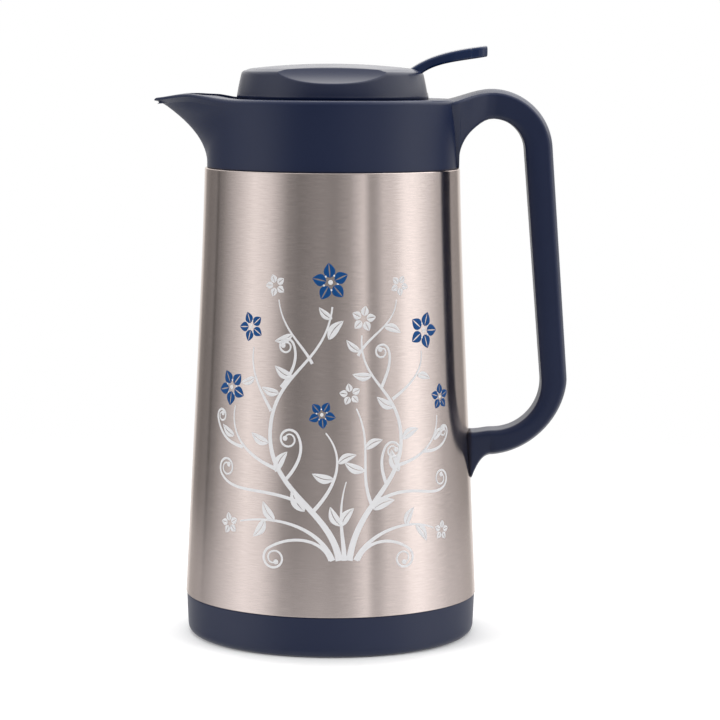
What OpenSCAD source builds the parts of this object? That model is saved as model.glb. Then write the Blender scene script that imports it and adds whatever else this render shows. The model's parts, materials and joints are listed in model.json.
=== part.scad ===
// Vacuum jug with a pouring spout, a thumb lever stopper and a full-length handle.
// Millimetres. The table is z = 0, the body's axis is x = y = 0, the handle is at +X
// and the spout at -X.

/* [Sleeve] */
// Outer radius of the steel sleeve at its lower edge
sleeve_foot_r = 75; // [74.6:0.1:75.4]
// Outer radius of the steel sleeve at its upper edge
sleeve_top_r = 65.2; // [65:0.1:65.6]
// How much the sleeve's upper half is drawn in from a straight cone
sleeve_bow = 4.2; // [0:0.2:5]
// Height of the sleeve's lower edge
sleeve_low_z = 20.5; // [19.5:0.5:21.5]
// Height of the sleeve's upper edge
sleeve_top_z = 239.3; // [239:0.1:239.6]
// Thickness of the steel
sheet = 0.8; // [0.6:0.1:0.9]

/* [Shoulder] */
// Outer radius of the shoulder just above the sleeve
collar_r = 64; // [63.8:0.1:64.2]
// How much wider the shoulder is at its rim
collar_flare = 1; // [0:0.1:1.5]
// Height of the flat deck around the lid
deck_z = 275; // [274.8:0.1:275]
// Distance from the axis to the spout's tip
spout_reach = 91.8; // [88:0.1:94]
// Moulded wall thickness
wall = 2.6; // [2.2:0.1:3]

/* [Handle] */
// Thickness of the grip, from its inner to its outer face
grip_thick = 14.4; // [13:0.1:16]
// Width of the grip
grip_w = 21; // [18:0.5:24]
// Lean of the grip away from the body, towards the foot
grip_lean = 4.76; // [4:0.1:5.5]
// Width of the handle where it leaves the shoulder
root_w = 52; // [46:1:54]

/* [Lid] */
// Radius of the stopper's flange
flange_r = 48.8; // [48.5:0.1:50.5]
// Radius of the lid at its lower edge
lid_low_r = 47.9; // [47.5:0.1:48.2]
// Radius of the lid at its shoulder
lid_top_r = 46.8; // [46.2:0.1:47]
// Height of the middle of the lid
lid_z = 292.1; // [291.8:0.1:293]
// How far from the middle of the lid each finger scoop starts
scoop_rim_y = 34.5; // [34:0.1:35.5]

/* [Lever] */
// Distance from the axis to the lever's hinge pin
pivot_x = 37; // [36.5:0.1:37.2]
// Height of the lever's hinge pin
pivot_z = 281.4; // [281.2:0.1:281.6]
// Width of the lever at the thumb
thumb_w = 21; // [18:1:23]

/* [Flask] */
// Inner radius of the glass mouth
mouth_r = 30.5; // [30:0.1:30.7]
// Inner radius of the glass flask
flask_r = 53.5; // [50:0.5:54]
// Thickness of the glass
glass = 1.8; // [1.5:0.1:2]

/* [Hidden] */

navy = [0.16, 0.18, 0.29];
lever_blue = [0.13, 0.2, 0.36];
steel = [0.68, 0.64, 0.61];
bright = [0.8, 0.8, 0.82];
silicone = [0.86, 0.86, 0.84];
glass_tint = [0.82, 0.88, 0.9, 0.6];
round_fn = 96;        // segments of true circles when OpenSCAD previews them
mesh_fn = 120;        // segments of the circles cut into the moulded shoulder
thin = 0.01;          // thickness of a slice that a hull joins to the next
past = 1;             // how far a cutting shape runs past the face that it cuts
kiss = 0.05;          // gap left between round faces that touch

// Shoulder
rim_round = 1.2;      // rounding of the rim's outer edge
collar_top_r = collar_r + collar_flare;
groove_z = 1;         // height of the groove that holds the sleeve's curled edge
groove_r = 63;
spigot_r = 63.8;      // plug of the shoulder inside the sleeve
spigot_z = 226;
spigot_in_r = 61;
well_r = 47.8;        // well that the lid's skirt drops into
basin_z = 256;        // floor that the liquid pours across
plate_z = 253.4;      // top of the mouth ring outside the well wall
deck_under_z = deck_z - wall;
rib_w = 1.6;
rib_angles = [for (i = [0 : 9]) -117 + 26 * i];

// Spout
nose_z = 241;         // where the spout starts to grow out of the shoulder
nose_end_z = 271.7;   // underside of the lip
nose_under = 22.84;   // how far the underside reaches past the shoulder's radius
lip_in = 1.6;         // how far the lip's lower edge stays behind its tip
lip_hollow = 1.6;     // depth of the drip groove in the lip's end
lip_rise = 1.64;      // how much the rim climbs towards the spout
lip_drop = 2.5;       // how much it falls again to the tip
tip_crisp = 0.7;      // share of the rim's rounding that is left out at the tip
nose_sharp = 0.37;    // how much the nose bulges past straight sides
tip_half = 3.4;       // half-width of the blunt tip
trough_half = 24.3;   // half-width of the trough where it leaves the well
trough_from_x = -42;  // where the trough's cutter starts, inside the well
trough_lip_z = 272.6; // the trough's walls stand upright above this
trough_tip = 4.8;     // thickness of the spout's tip in front of the trough
notch_x = -82;        // where the pouring notch starts
notch_half = 4.6;     // half-width of the notch there, narrowing to the tip
notch_tip_half = 1.7;
notch_tip_drop = 2.1; // depth of the notch at the tip
side_pts = 10;        // outline points on each side of the nose
round_pts = 54;       // outline points on the round part

// Handle
arch_x = 81.4;        // centre of the arch under the handle
arch_z = 248;
arch_r = 16.7;
crown_r = 31.2;       // outer radius of the upper bend
root_x = 54;          // handle starts here, inside the shoulder's wall
flare_x = 58;         // the root's flare starts to narrow here
flare_run = 24;       // and has narrowed to the grip after this far
root_low_z = sleeve_top_z + 0.3; // lower end of the root, just above the sleeve
edge_r = 2;           // rounding of the handle's four edges
crown = 1.6;          // bulge of the handle's outer face
bend_x = 83;          // centre of the lower bend
bend_z = 130;
bend_out = 38.3;
bend_in = bend_out - grip_thick - 0.5;
foot_low_z = 79;      // lowest point of the handle's foot
foot_top_z = 105.4;
foot_w = 19;
screw_z = 95;         // the screw that holds the foot to the sleeve
screw_r = 2.5;

// Stopper and lid
flange_low_z = deck_z + 0.2;
flange_z = 276.5;
skirt_r = 46.8;
skirt_z = 268;
plug_r = 33;
plug_in_r = 30.4;
ring_bore_r = 34.5;
ring_lip_r = 31;
ring_lip_z = 241;
seat_z = 244;         // ledge in the mouth ring that the stopper's gasket sits on
gasket_h = 2;
nose_plug_r = 29.6;   // lower part of the stopper, inside the glass mouth
nose_plug_in_r = 27;
stopper_low_z = 226;
port_r = 15;          // the hole that the valve closes
chamber_z = 266;      // underside of the floor between liquid and lever
chamber_floor = 2.5;
window_z = 257;
window_h = 7.5;
window_w = 19.7;
cover_wall = 2;
shoulder_z = 288;     // where the lid's wall meets its rounded edge
edge_round = 2.4;
edge_z = shoulder_z - edge_round + 0.6; // centre of that rounding
boss_h = 11;          // posts and ears inside the cover, up into its top
scoop_r = 34;
scoop_low_z = 282.5;  // where the scoop runs out of the lid's wall
slot_w = 13.8;
slot_z = 277.6;
screw_ring_r = 38.5;
screw_angles = [45, 180, 315];

// Valve
stem_r = 3;
stem_gap = 0.06;      // running clearance round the stem
disc_r = 19;
disc_z = 229.5;
disc_h = 2.6;
seal_h = 1;
head_z = 279.6;
head_h = 2.2;
head_r = 7.5;
spring_r = 6.2;
spring_wire = 1.1;
spring_turns = 7;
pin_r = 1.5;
pin_gap = 0.05;

// Lever
hub_r = 3.9;
hub_w = 13;
fork_z = 276.8;       // centre of the fork's round noses, under the stem's head
fork_r = 2.5;
fork_gap = 7.6;
pad_x = 70.3;         // seam between the lever and its thumb pad
tip_x = 78.4;
widen_x = 46;         // the lever starts to widen here, in plan
widen_run = 18;
tip_round = 5;        // rounding of the tip's corners, in plan

// Flask
mouth_z = 236;
flask_low_z = 66;     // where the flask's bottom cap starts
flask_cap = 26;
flask_high_z = 190;   // where the flask's shoulder starts
flask_neck_z = 222;
vacuum_r = 61.2;      // inner radius of the outer glass wall
outer_low_z = 64;
outer_cap = 31.2;
outer_high_z = 188;
outer_neck_z = 226;
outer_neck_r = 33;
lip_r = 34.5;
gasket_out_r = 37.3;  // the neck gasket fills the mouth ring's cup
gasket_grip = 3.2;    // and reaches this far down round the flask's lip
pad_z = 150;          // felt pads between the two glass walls
pad_h = 12;

// Base
foot_in_r = 65;
foot_out_r = 71;
corner_w = 2.9;
corner_h = 4.5;
ring_top_r = 74.6;
cap_r = 57.7;
cap_z = 3;            // underside of the base cap
thread_bore_r = 58;

function smooth(t) = let (u = min(1, max(0, t))) u * u * (3 - 2 * u);
function mix(a, b, t) = a + (b - a) * t;
function on_circle(x, z, r, a) = [x + r * cos(a), z + r * sin(a)];
// Outer radius of the sleeve: a cone, a little slimmer in its upper half.
function sleeve_r(z) = let (u = (sleeve_top_z - z) / (sleeve_top_z - sleeve_low_z))
    mix(sleeve_top_r, sleeve_foot_r, u) - sleeve_bow * u * pow(1 - u, 2);
function sleeve_line(z0, z1, gap, n = 8) =
    [for (i = [0 : n]) let (z = mix(z0, z1, i / n)) [sleeve_r(z) + gap, z]];

// Points of a quarter ellipse about [x, z], from angle a to angle b.
function arc(x, z, rx, rz, a, b, n = 6) =
    [for (i = [0 : n]) let (t = mix(a, b, i / n)) [x + rx * cos(t), z + rz * sin(t)]];

// ---- sleeve ------------------------------------------------------------------

module outer_sleeve() {
    edge = sheet;
    color(steel) difference() {
        rotate_extrude($fn = round_fn) polygon(concat(
            sleeve_line(sleeve_low_z, sleeve_top_z - 2 * edge, 0),
            arc(sleeve_top_r - edge, sleeve_top_z - edge, edge, edge, 0, 90, 4),
            [[groove_r + 0.1, sleeve_top_z], [groove_r + 0.1, sleeve_top_z - sheet]],
            sleeve_line(sleeve_top_z - sheet, sleeve_low_z, -sheet)));
        translate([sleeve_foot_r - 10, 0, screw_z]) rotate([0, 90, 0])
            cylinder(r = screw_r + 0.2, h = 20, $fn = 32);
    }
}

// ---- shoulder, spout and handle, one moulding ----------------------------------

function body_r(z) = collar_r + collar_flare * smooth((z - nose_z) / (deck_z - nose_z));
function nose_reach(z) = z < nose_z ? body_r(z)
    : z < nose_end_z ? max(body_r(z), collar_r + nose_under * pow((z - nose_z) / (nose_end_z - nose_z), 2))
    : let (t = (z - nose_end_z) / (deck_z - rim_round - nose_end_z))
        spout_reach - lip_in * (1 - t) - lip_hollow * sin(180 * t);

function bezier(p, t) = pow(1 - t, 3) * p[0] + 3 * pow(1 - t, 2) * t * p[1]
    + 3 * (1 - t) * t * t * p[2] + pow(t, 3) * p[3];

// One side of the nose in plan, from the round body to the middle of the tip.
function nose_side(r, reach, inset) =
    let (d = max(reach - inset, r - inset + 0.001),
         q = r - inset,
         a = acos(q / (d + nose_sharp * (d - q) + 0.001)),
         from = [-q * cos(a), q * sin(a)],
         run = 0.62 * (d - q * cos(a)),
         lead = from + run * [-sin(a), -cos(a)],
         half = tip_half * smooth((d - q) / 8))
    [for (i = [0 : side_pts]) bezier([from, lead, [-d, half], [-d, 0]], i / side_pts)];

// Whole outline of the body in plan: round behind, drawn out to the spout in front.
function body_outline(r, reach, inset = 0) =
    let (side = nose_side(r, reach, inset),
         a0 = atan2(side[0].y, side[0].x))
    concat([for (i = [side_pts : -1 : 0]) side[i]],
           [for (i = [1 : round_pts - 1])
               (r - inset) * [cos(mix(a0, -a0, i / round_pts)), sin(mix(a0, -a0, i / round_pts))]],
           [for (i = [0 : side_pts - 1]) [side[i].x, -side[i].y]]);

// The rim climbs a little towards the spout and falls to its tip.
function rim_lift(x) = lip_rise * smooth((-x - 52) / 22) - lip_drop * smooth((-x - 72) / 22);

function lifted(p, z) = [p.x, p.y, z + rim_lift(p.x) * smooth((z - 268) / 6)];

function middle(ring) = ([for (p = ring) 1] * ring) / len(ring);

// A closed solid through rings of equal point counts, capped at both ends.
module loft(rings) {
    n = len(rings[0]);
    m = len(rings);
    low = middle(rings[0]);
    high = middle(rings[m - 1]);
    polyhedron(
        points = concat([for (ring = rings) each ring], [low, high]),
        faces = concat(
            [for (k = [0 : m - 2], i = [0 : n - 1]) let (j = (i + 1) % n)
                each [[k * n + i, k * n + j, (k + 1) * n + i],
                      [k * n + j, (k + 1) * n + j, (k + 1) * n + i]]],
            [for (i = [0 : n - 1]) [m * n, (i + 1) % n, i]],
            [for (i = [0 : n - 1]) [m * n + 1, (m - 1) * n + i, (m - 1) * n + (i + 1) % n]]));
}

module collar_form() {
    levels = [sleeve_top_z, 243, 247, 251, 255, 259, 262.5, 266, 269, nose_end_z - 0.1];
    flat_r = flange_r + 0.8;
    loft(concat(
        [for (z = levels) [for (p = body_outline(body_r(z), nose_reach(z))) lifted(p, z)]],
        [for (z = [nose_end_z, nose_end_z + 1, deck_z - rim_round])
            [for (p = body_outline(body_r(z), nose_reach(z))) lifted(p, z)]],
        [for (a = [30, 60, 90]) let (in = rim_round * (1 - cos(a)),
                                     z = deck_z - rim_round * (1 - sin(a)))
            [for (p = body_outline(collar_top_r, spout_reach + tip_crisp * in, in)) lifted(p, z)]],
        [[for (p = body_outline(flat_r, flat_r)) [p.x, p.y, deck_z]]]));
}

// A ring of points round the handle between an inner and an outer point of its side
// view. The outer face is crowned and the edges are rounded.
function handle_ring(from, to, w_in, w_out) =
    let (run = norm(to - from), dir = (to - from) / run,
         bulge = min(crown, run * 0.15), e = min(edge_r, w_in / 2 - 0.1, run / 2 - 0.1),
         inner = [for (a = [90 : -22.5 : 0]) [e * (1 - sin(a)), w_in / 2 - e * (1 - cos(a))]],
         outer = [for (a = [0 : 22.5 : 90])
             [run - bulge - e * (1 - sin(a)), w_out / 2 - e * (1 - cos(a))]],
         half = concat(inner, outer, [[run - bulge * 0.35, w_out / 3.6], [run, 0]]),
         face = concat([for (p = half) [p.x, -p.y]], [for (i = [len(half) - 2 : -1 : 0]) half[i]]))
    [for (p = face) [from[0] + p.x * dir[0], p.y, from[1] + p.x * dir[1]]];

function root_top(x) = mix(deck_z - 0.6, arch_z + crown_r + 0.6, smooth((x - 52) / 29));
function root_arch(x) = x < arch_x - arch_r + 0.2 ? root_low_z
    : arch_z + sqrt(arch_r * arch_r - pow(arch_x - x, 2));

// Width of the root: it flares towards the shoulder, and more towards the deck.
function root_width(x, z) = grip_w
    + (root_w - grip_w) * (1 - smooth((x - flare_x) / flare_run)) * (z - root_low_z) / (deck_z - root_low_z);

// Where the handle is cut into rings, as [inner point, outer point, inner width, outer width].
function handle_slices() = concat(
    [for (x = [root_x, 60, 62.5, 64.7, 65, 65.8, 67, 69, 71.5, 74.5, 78])
        [[x, root_arch(x)], [x, root_top(x)],
         root_width(x, root_arch(x)), root_width(x, root_top(x)) + mix(0, 2, smooth((x - 70) / 8))]],
    [for (a = [90 : -9.5 : grip_lean]) let (t = (90 - a) / 90)
        [on_circle(arch_x, arch_z, arch_r, a),
         on_circle(arch_x, arch_z + 0.6 * (1 - t), crown_r - 0.1 * t, a), grip_w,
         mix(grip_w + 2, grip_w, t)]],
    [for (a = [grip_lean, -4, -13, -22, -31, -40, -49, -58, -67, -76, -90]) let (t = smooth(-a / 90))
        [on_circle(bend_x, bend_z, bend_in, a), on_circle(bend_x, bend_z, bend_out, a),
         mix(grip_w, foot_w, t), mix(grip_w, foot_w, t)]],
    [for (x = [80.2, 77.5, 75, 72.8, 71, 68]) let (t = (bend_x - x) / (bend_x - 71))
        [[x, mix(bend_z - bend_in, foot_top_z, smooth(t * 2))],
         [x, bend_z - bend_out - (bend_z - bend_out - foot_low_z) * pow(t, 1.6)], foot_w, foot_w - 1]]);

module handle_form() {
    loft([for (s = handle_slices()) handle_ring(s[0], s[1], s[2], s[3])]);
}

// Reach of the trough inside the spout: the spout's own curve, a wall further in.
function trough_reach(z) = let (r = collar_r - wall)
    z > trough_lip_z - 1 ? spout_reach - trough_tip
    : max(r, r + nose_under * pow((z - 2 - nose_z) / (nose_end_z - nose_z), 2));

// A U-shaped slice of the pouring notch in the spout's tip.
module notch_slice(x, half, floor_z) {
    translate([x, 0, 0]) rotate([90, 0, 90]) linear_extrude(thin, center = true)
        polygon([[half, deck_z + 6], [-half, deck_z + 6], [-half, floor_z + half * 0.6],
            [-half * 0.5, floor_z], [half * 0.5, floor_z], [half, floor_z + half * 0.6]]);
}

// The open trough from the well to the spout's tip.
module trough() {
    levels = [basin_z, 259, 262, 265, 268, trough_lip_z - 1.5, trough_lip_z, deck_z + 10];
    intersection() {
        loft([for (z = levels)
            [for (p = body_outline(collar_r - wall, trough_reach(z))) [p.x, p.y, z]]]);
        translate([-spout_reach, -trough_half, basin_z])
            cube([spout_reach + trough_from_x, 2 * trough_half, deck_z + 10 - basin_z]);
    }
    hull() {
        notch_slice(notch_x, notch_half, trough_lip_z - 0.2);
        notch_slice(-spout_reach - 2, notch_tip_half, deck_z - notch_tip_drop);
    }
}

module spigot() {
    cylinder_at(groove_r, sleeve_top_z - 3, sleeve_top_z + past);
    cylinder_at(spigot_r, spigot_z, sleeve_top_z - groove_z);
}

module cylinder_at(r, z0, z1, fn = mesh_fn) {
    translate([0, 0, z0]) cylinder(r = r, h = z1 - z0, $fn = fn);
}

// Room inside the shoulder, under the deck and round the well and the trough.
module shoulder_room() {
    trough_block = [26, 2 * (trough_half + wall), 30];
    cylinder_at(spigot_in_r, spigot_z - past, plate_z);
    difference() {
        cylinder_at(spigot_in_r, plate_z - past, deck_under_z);
        cylinder_at(well_r + wall, plate_z - 2 * past, deck_z);
        translate([-collar_r, -trough_block.y / 2, plate_z]) cube(trough_block);
    }
    cylinder_at(well_r + wall + kiss, plate_z - past, basin_z);
}

// Tapered ribs between the well and the outer wall, hanging under the deck.
module deck_ribs() {
    for (a = rib_angles) rotate([0, 0, a]) hull() {
        translate([well_r + 1, -rib_w / 2, deck_under_z - 12]) cube([1, rib_w, 12.5]);
        translate([spigot_in_r - 0.5, -rib_w / 2, deck_under_z - 4]) cube([1, rib_w, 4.5]);
    }
}

module shoulder() {
    color(navy) union() {
        deck_ribs();
        moulding();
    }
}

module moulding() {
    difference() {
        union() {
            collar_form();
            spigot();
            handle_form();
        }
        shoulder_room();
        cylinder_at(well_r, basin_z - past, deck_z + 10);
        trough();
        rotate_extrude($fn = 180) polygon(concat(
            [[0, foot_low_z - 20]], sleeve_line(foot_low_z - 20, foot_top_z + 20, kiss),
            [[0, foot_top_z + 20]]));
        translate([sleeve_r(screw_z) - past, 0, screw_z]) rotate([0, 90, 0])
            cylinder(r = screw_r + kiss, h = 15, $fn = 24);
    }
}

// ---- mouth of the flask --------------------------------------------------------

module mouth_ring() {
    cup_r = 37.6;
    cup_z = 232.5;
    shell = 2.8;
    plate_r = spigot_in_r - 0.3;
    under_z = plate_z - 3;
    color(navy) union() {
        rotate_extrude($fn = round_fn) polygon([[ring_lip_r, ring_lip_z - 2], [cup_r, ring_lip_z - 2],
            [cup_r, cup_z], [cup_r + shell, cup_z], [cup_r + shell, under_z],
            [plate_r, under_z], [plate_r, plate_z], [well_r + wall, plate_z],
            [well_r + wall, basin_z], [ring_bore_r + 0.8, basin_z], [ring_bore_r, basin_z - 0.8],
            [ring_bore_r, seat_z], [ring_lip_r, seat_z]]);
        for (a = [22.5 : 45 : 359]) rotate([0, 0, a])
            translate([cup_r + 1, -0.8, under_z - 5]) cube([plate_r - cup_r - 5, 1.6, 5.5]);
    }
}

module neck_gasket() {
    color(silicone) rotate_extrude($fn = round_fn) polygon([
        [mouth_r + 0.6, mouth_z], [lip_r + 0.1, mouth_z], [lip_r + 0.1, mouth_z - gasket_grip],
        [gasket_out_r, mouth_z - gasket_grip], [gasket_out_r, ring_lip_z - 2],
        [mouth_r + 0.6, ring_lip_z - 2]]);
}

// Half-section of a bottle: rounded bottom, straight side, S-shaped shoulder and neck.
function bottle(r, low, cap, high, neck, neck_r, top) = concat(
    [for (i = [0 : 10]) [r * sin(9 * i), low - cap * cos(9 * i)]],
    [for (i = [0 : 10]) let (z = mix(high, neck, i / 10))
        [(r + neck_r) / 2 + (r - neck_r) / 2 * cos(18 * i), z]],
    [[neck_r, top]]);

module liner_inner() {
    inside = bottle(flask_r, flask_low_z, flask_cap, flask_high_z, flask_neck_z, mouth_r, mouth_z - 0.8);
    outside = bottle(flask_r + glass, flask_low_z, flask_cap + glass, flask_high_z, flask_neck_z,
        mouth_r + glass, mouth_z - 2);
    color(glass_tint) rotate_extrude($fn = round_fn) polygon(concat(
        inside, [[mouth_r + 0.8, mouth_z], [lip_r - 0.8, mouth_z], [lip_r, mouth_z - 0.8],
                 [lip_r, mouth_z - 2]],
        [for (i = [len(outside) - 1 : -1 : 0]) outside[i]]));
}

module liner_outer() {
    inside = bottle(vacuum_r, outer_low_z, outer_cap, outer_high_z, outer_neck_z, outer_neck_r,
        mouth_z - 2);
    outside = bottle(vacuum_r + glass, outer_low_z, outer_cap + glass, outer_high_z, outer_neck_z,
        lip_r, mouth_z - 2);
    bottom_z = outer_low_z - outer_cap - glass;
    nipple_r = 3.5;
    nipple_z = bottom_z - 6;
    color(glass_tint) union() {
        rotate_extrude($fn = round_fn) polygon(concat(
            inside, [for (i = [len(outside) - 1 : -1 : 0]) outside[i]]));
        rotate_extrude($fn = 32) polygon([[0, nipple_z], [nipple_r / 2, nipple_z + 1.5],
            [nipple_r, bottom_z + 0.6], [0, bottom_z + 0.6]]);
    }
}

module spacer_pads() {
    color(silicone) for (a = [90, 210, 330]) rotate([0, 0, a])
        rotate_extrude(angle = 16, $fn = round_fn)
            translate([flask_r + glass + kiss, pad_z])
                square([vacuum_r - flask_r - glass - 2 * kiss, pad_h]);
}

// ---- base ------------------------------------------------------------------------

module flask_cushion() {
    in_r = 24;
    out_r = 34.5;
    foot_z = 18;      // it stands on the base cap
    touch_r = 29;
    drop = sqrt(1 - pow(touch_r / (vacuum_r + glass), 2));
    touch_z = outer_low_z - (outer_cap + glass) * drop;
    slope = (outer_cap + glass) * touch_r / pow(vacuum_r + glass, 2) / drop;
    color(silicone) rotate_extrude($fn = round_fn) polygon([
        [in_r, foot_z], [out_r, foot_z], [out_r, touch_z + slope * (out_r - touch_r) - 0.1],
        [in_r, touch_z - slope * (touch_r - in_r) - 0.1]]);
}

module base_ring() {
    lip_top = sleeve_low_z + 11.5;
    spig = sleeve_foot_r - sheet - 0.25;
    spig_top = sleeve_r(lip_top) - sheet - 0.3;
    floor_z = 6;
    thread_z = 16;    // top of the collar that the base cap screws into
    color(navy) rotate_extrude($fn = round_fn) polygon(concat(
        arc(foot_out_r, corner_h, corner_w, corner_h, 270, 360, 6),
        [[ring_top_r, sleeve_low_z - 0.6], [ring_top_r - 0.5, sleeve_low_z], [spig, sleeve_low_z],
         [spig_top, lip_top], [spig_top - 2.2, lip_top], [spig_top - 2.6, floor_z],
         [thread_bore_r + 3, floor_z], [thread_bore_r + 3, thread_z], [thread_bore_r, thread_z],
         [thread_bore_r, cap_z], [foot_in_r, cap_z], [foot_in_r, 0]]));
}

module base_cap() {
    plate = 3;        // thickness of the cap's floor
    skirt_top = 15;   // top of its threaded edge
    grip_r = 20;      // recess for the fingertips that unscrew it
    grip_z = 12;
    bar_w = 9;        // bar across that recess
    holder_r = 39;    // wall round the flask's cushion
    seat = 18;        // the cushion stands here
    color(navy) union() {
        rotate_extrude($fn = round_fn) polygon([[grip_r, cap_z], [cap_r - 0.8, cap_z],
            [cap_r, cap_z + 0.8], [cap_r, skirt_top], [cap_r - plate, skirt_top],
            [cap_r - plate, cap_z + plate], [holder_r, cap_z + plate], [holder_r, seat + 5],
            [holder_r - 2.5, seat + 5], [holder_r - 2.5, seat], [grip_r + 2.5, seat],
            [grip_r + 2.5, grip_z + 2], [0, grip_z + 2], [0, grip_z], [grip_r, grip_z]]);
        translate([-bar_w / 2, -grip_r - 1, cap_z + 1])
            cube([bar_w, 2 * grip_r + 2, grip_z - cap_z]);
    }
}

// ---- fixing of the handle's foot ---------------------------------------------------

module handle_bracket() {
    plate_x = sleeve_r(screw_z + 9) - sheet - 2.9;
    color(bright) difference() {
        translate([plate_x, -8, screw_z - 9]) cube([1.5, 16, 18]);
        translate([plate_x - past, 0, screw_z]) rotate([0, 90, 0])
            cylinder(r = screw_r + 0.2, h = 4, $fn = 32);
    }
}

module handle_screw() {
    head_x = sleeve_r(screw_z + 9) - sheet - 2.9;
    color(bright) union() {
        translate([head_x - 2.2, 0, screw_z]) rotate([0, 90, 0]) cylinder(r = 4.4, h = 2.2, $fn = 32);
        translate([head_x - 0.2, 0, screw_z]) rotate([0, 90, 0])
            cylinder(r = screw_r, h = 15.2, $fn = 32);
    }
}

// ---- stopper ---------------------------------------------------------------------

module stopper_gasket() {
    color(silicone) rotate_extrude($fn = round_fn)
        translate([nose_plug_r + 0.3, seat_z]) square([3.6, gasket_h]);
}

module stopper_body() {
    shelf_z = seat_z + gasket_h;
    color(navy) difference() {
        rotate_extrude($fn = round_fn) polygon([
            [port_r, stopper_low_z], [nose_plug_r - 1, stopper_low_z], [nose_plug_r, stopper_low_z + 1],
            [nose_plug_r, shelf_z], [plug_r, shelf_z], [plug_r, flange_low_z], [skirt_r - 2.2, flange_low_z],
            [skirt_r - 2.2, skirt_z], [skirt_r, skirt_z], [skirt_r, flange_low_z],
            [flange_r - 0.4, flange_low_z], [flange_r, flange_low_z + 0.4], [flange_r, flange_z - 0.4],
            [flange_r - 0.4, flange_z], [plug_in_r, flange_z], [plug_in_r, chamber_z + chamber_floor],
            [7, chamber_z + chamber_floor], [7, chamber_z + 6], [stem_r + stem_gap, chamber_z + 6],
            [stem_r + stem_gap, chamber_z + 4.4], [4.6, chamber_z + 4.4], [4.6, chamber_z + 2.4],
            [stem_r + stem_gap, chamber_z + 2.4],
            [stem_r + stem_gap, chamber_z], [plug_in_r, chamber_z], [plug_in_r, shelf_z + 2.6],
            [nose_plug_in_r, shelf_z + 2.6], [nose_plug_in_r, disc_z - seal_h], [port_r, disc_z - seal_h]]);
        for (a = [0 : 60 : 359]) rotate([0, 0, a + 30])
            translate([plug_in_r - 6, -window_w / 2, window_z]) cube([12, window_w, window_h]);
        for (a = screw_angles) rotate([0, 0, a])
            translate([screw_ring_r, 0, flange_low_z - past]) cylinder(r = 1.8, h = 5, $fn = 24);
    }
}

module stem_seal() {
    color(silicone) rotate_extrude($fn = 48)
        translate([stem_r + 0.08, chamber_z + 2.45]) square([1.45, 1.9]);
}

// ---- lid cover ---------------------------------------------------------------------

// Height of the lid's domed top at radius r.
function dome_z(r) = lid_z - (lid_z - shoulder_z - 0.9) * pow(r / lid_top_r, 2);

// Half-section of the lid's outside, moved inwards by t.
function lid_outline(t, low) = let (e = max(edge_round - t, 0.4)) concat(
    [[lid_low_r - t, low], [mix(lid_low_r, lid_top_r, 0.8) - t, edge_z - 0.3]],
    arc(lid_top_r - edge_round - 0.1, edge_z, e, e, 15, 80, 4),
    [for (i = [4 : -1 : 0]) let (r = (lid_top_r - edge_round - 3) * i / 4) [r, dome_z(r) - t]]);

// A long drum that cuts one finger scoop: axis along X, sunk to the scoop's two edges.
module scoop(t) {
    high = [scoop_rim_y, dome_z(scoop_rim_y)];
    low = [lid_low_r - 0.6, scoop_low_z];
    mid = (high + low) / 2;
    half = norm(high - low) / 2;
    out = sqrt(scoop_r * scoop_r - half * half);
    dir = [high[1] - low[1], low[0] - high[0]] / (2 * half);
    translate([0, -(mid[0] + out * dir[0]), mid[1] + out * dir[1]]) rotate([0, 90, 0])
        cylinder(r = scoop_r + t, h = 80, center = true, $fn = 128);
}

module lid_cover() {
    ear_w = 2.6;
    ear_y = hub_w / 2 + 0.4;
    color([0.2, 0.22, 0.31]) difference() {
        union() {
            difference() {
                rotate_extrude($fn = round_fn)
                    polygon(concat(lid_outline(0, flange_z), [[0, flange_z]]));
                difference() {
                    rotate_extrude($fn = round_fn)
                        polygon(concat(lid_outline(cover_wall, flange_z - past), [[0, flange_z - past]]));
                    scoop(cover_wall);
                    mirror([0, 1, 0]) scoop(cover_wall);
                }
            }
            for (s = [-1, 1]) translate([pivot_x - 5, s * (ear_y + ear_w / 2) - ear_w / 2, flange_z])
                cube([10.4, ear_w, boss_h + 0.3]);
            for (a = screw_angles) rotate([0, 0, a]) translate([screw_ring_r, 0, flange_z])
                cylinder(r = 3.6, h = boss_h, $fn = 32);
        }
        scoop(0);
        mirror([0, 1, 0]) scoop(0);
        translate([pivot_x - 2.8, -slot_w / 2, slot_z]) cube([40, slot_w, 20]);
        translate([pivot_x, -20, pivot_z]) rotate([-90, 0, 0])
            cylinder(r = pin_r + pin_gap, h = 40, $fn = 32);
        for (a = screw_angles) rotate([0, 0, a])
            translate([screw_ring_r, 0, flange_z - past]) cylinder(r = 1.35, h = 10, $fn = 24);
    }
}

module lid_screws() {
    color(bright) for (a = screw_angles) rotate([0, 0, a]) translate([screw_ring_r, 0, 0]) union() {
        translate([0, 0, flange_low_z - 2]) cylinder(r = 3, h = 2, $fn = 32);
        translate([0, 0, flange_low_z - past]) cylinder(r = 1.3, h = past + 8.5, $fn = 24);
    }
}

module lever_pin() {
    color(bright) translate([pivot_x, -hub_w / 2 - 2.8, pivot_z]) rotate([-90, 0, 0])
        cylinder(r = pin_r, h = hub_w + 5.6, $fn = 32);
}

// ---- lever -------------------------------------------------------------------------

// The lever's side view outside the lid: upper and lower edges as smooth curves.
function lever_top(t) = bezier([[33.5, 284.5], [44, 296.2], [60, 299.6], [tip_x, 301.7]], t);
function lever_under(t) = bezier([[40.5, 281.9], [47, 293], [62, 293.2], [tip_x, 296.1]], t);

module lever_profile() {
    polygon(concat([for (i = [0 : 16]) lever_top(i / 16)],
                   [for (i = [16 : -1 : 0]) lever_under(i / 16)]));
}

function lever_half_w(x) = mix(hub_w, thumb_w, smooth((x - widen_x) / widen_run)) / 2;

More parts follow.
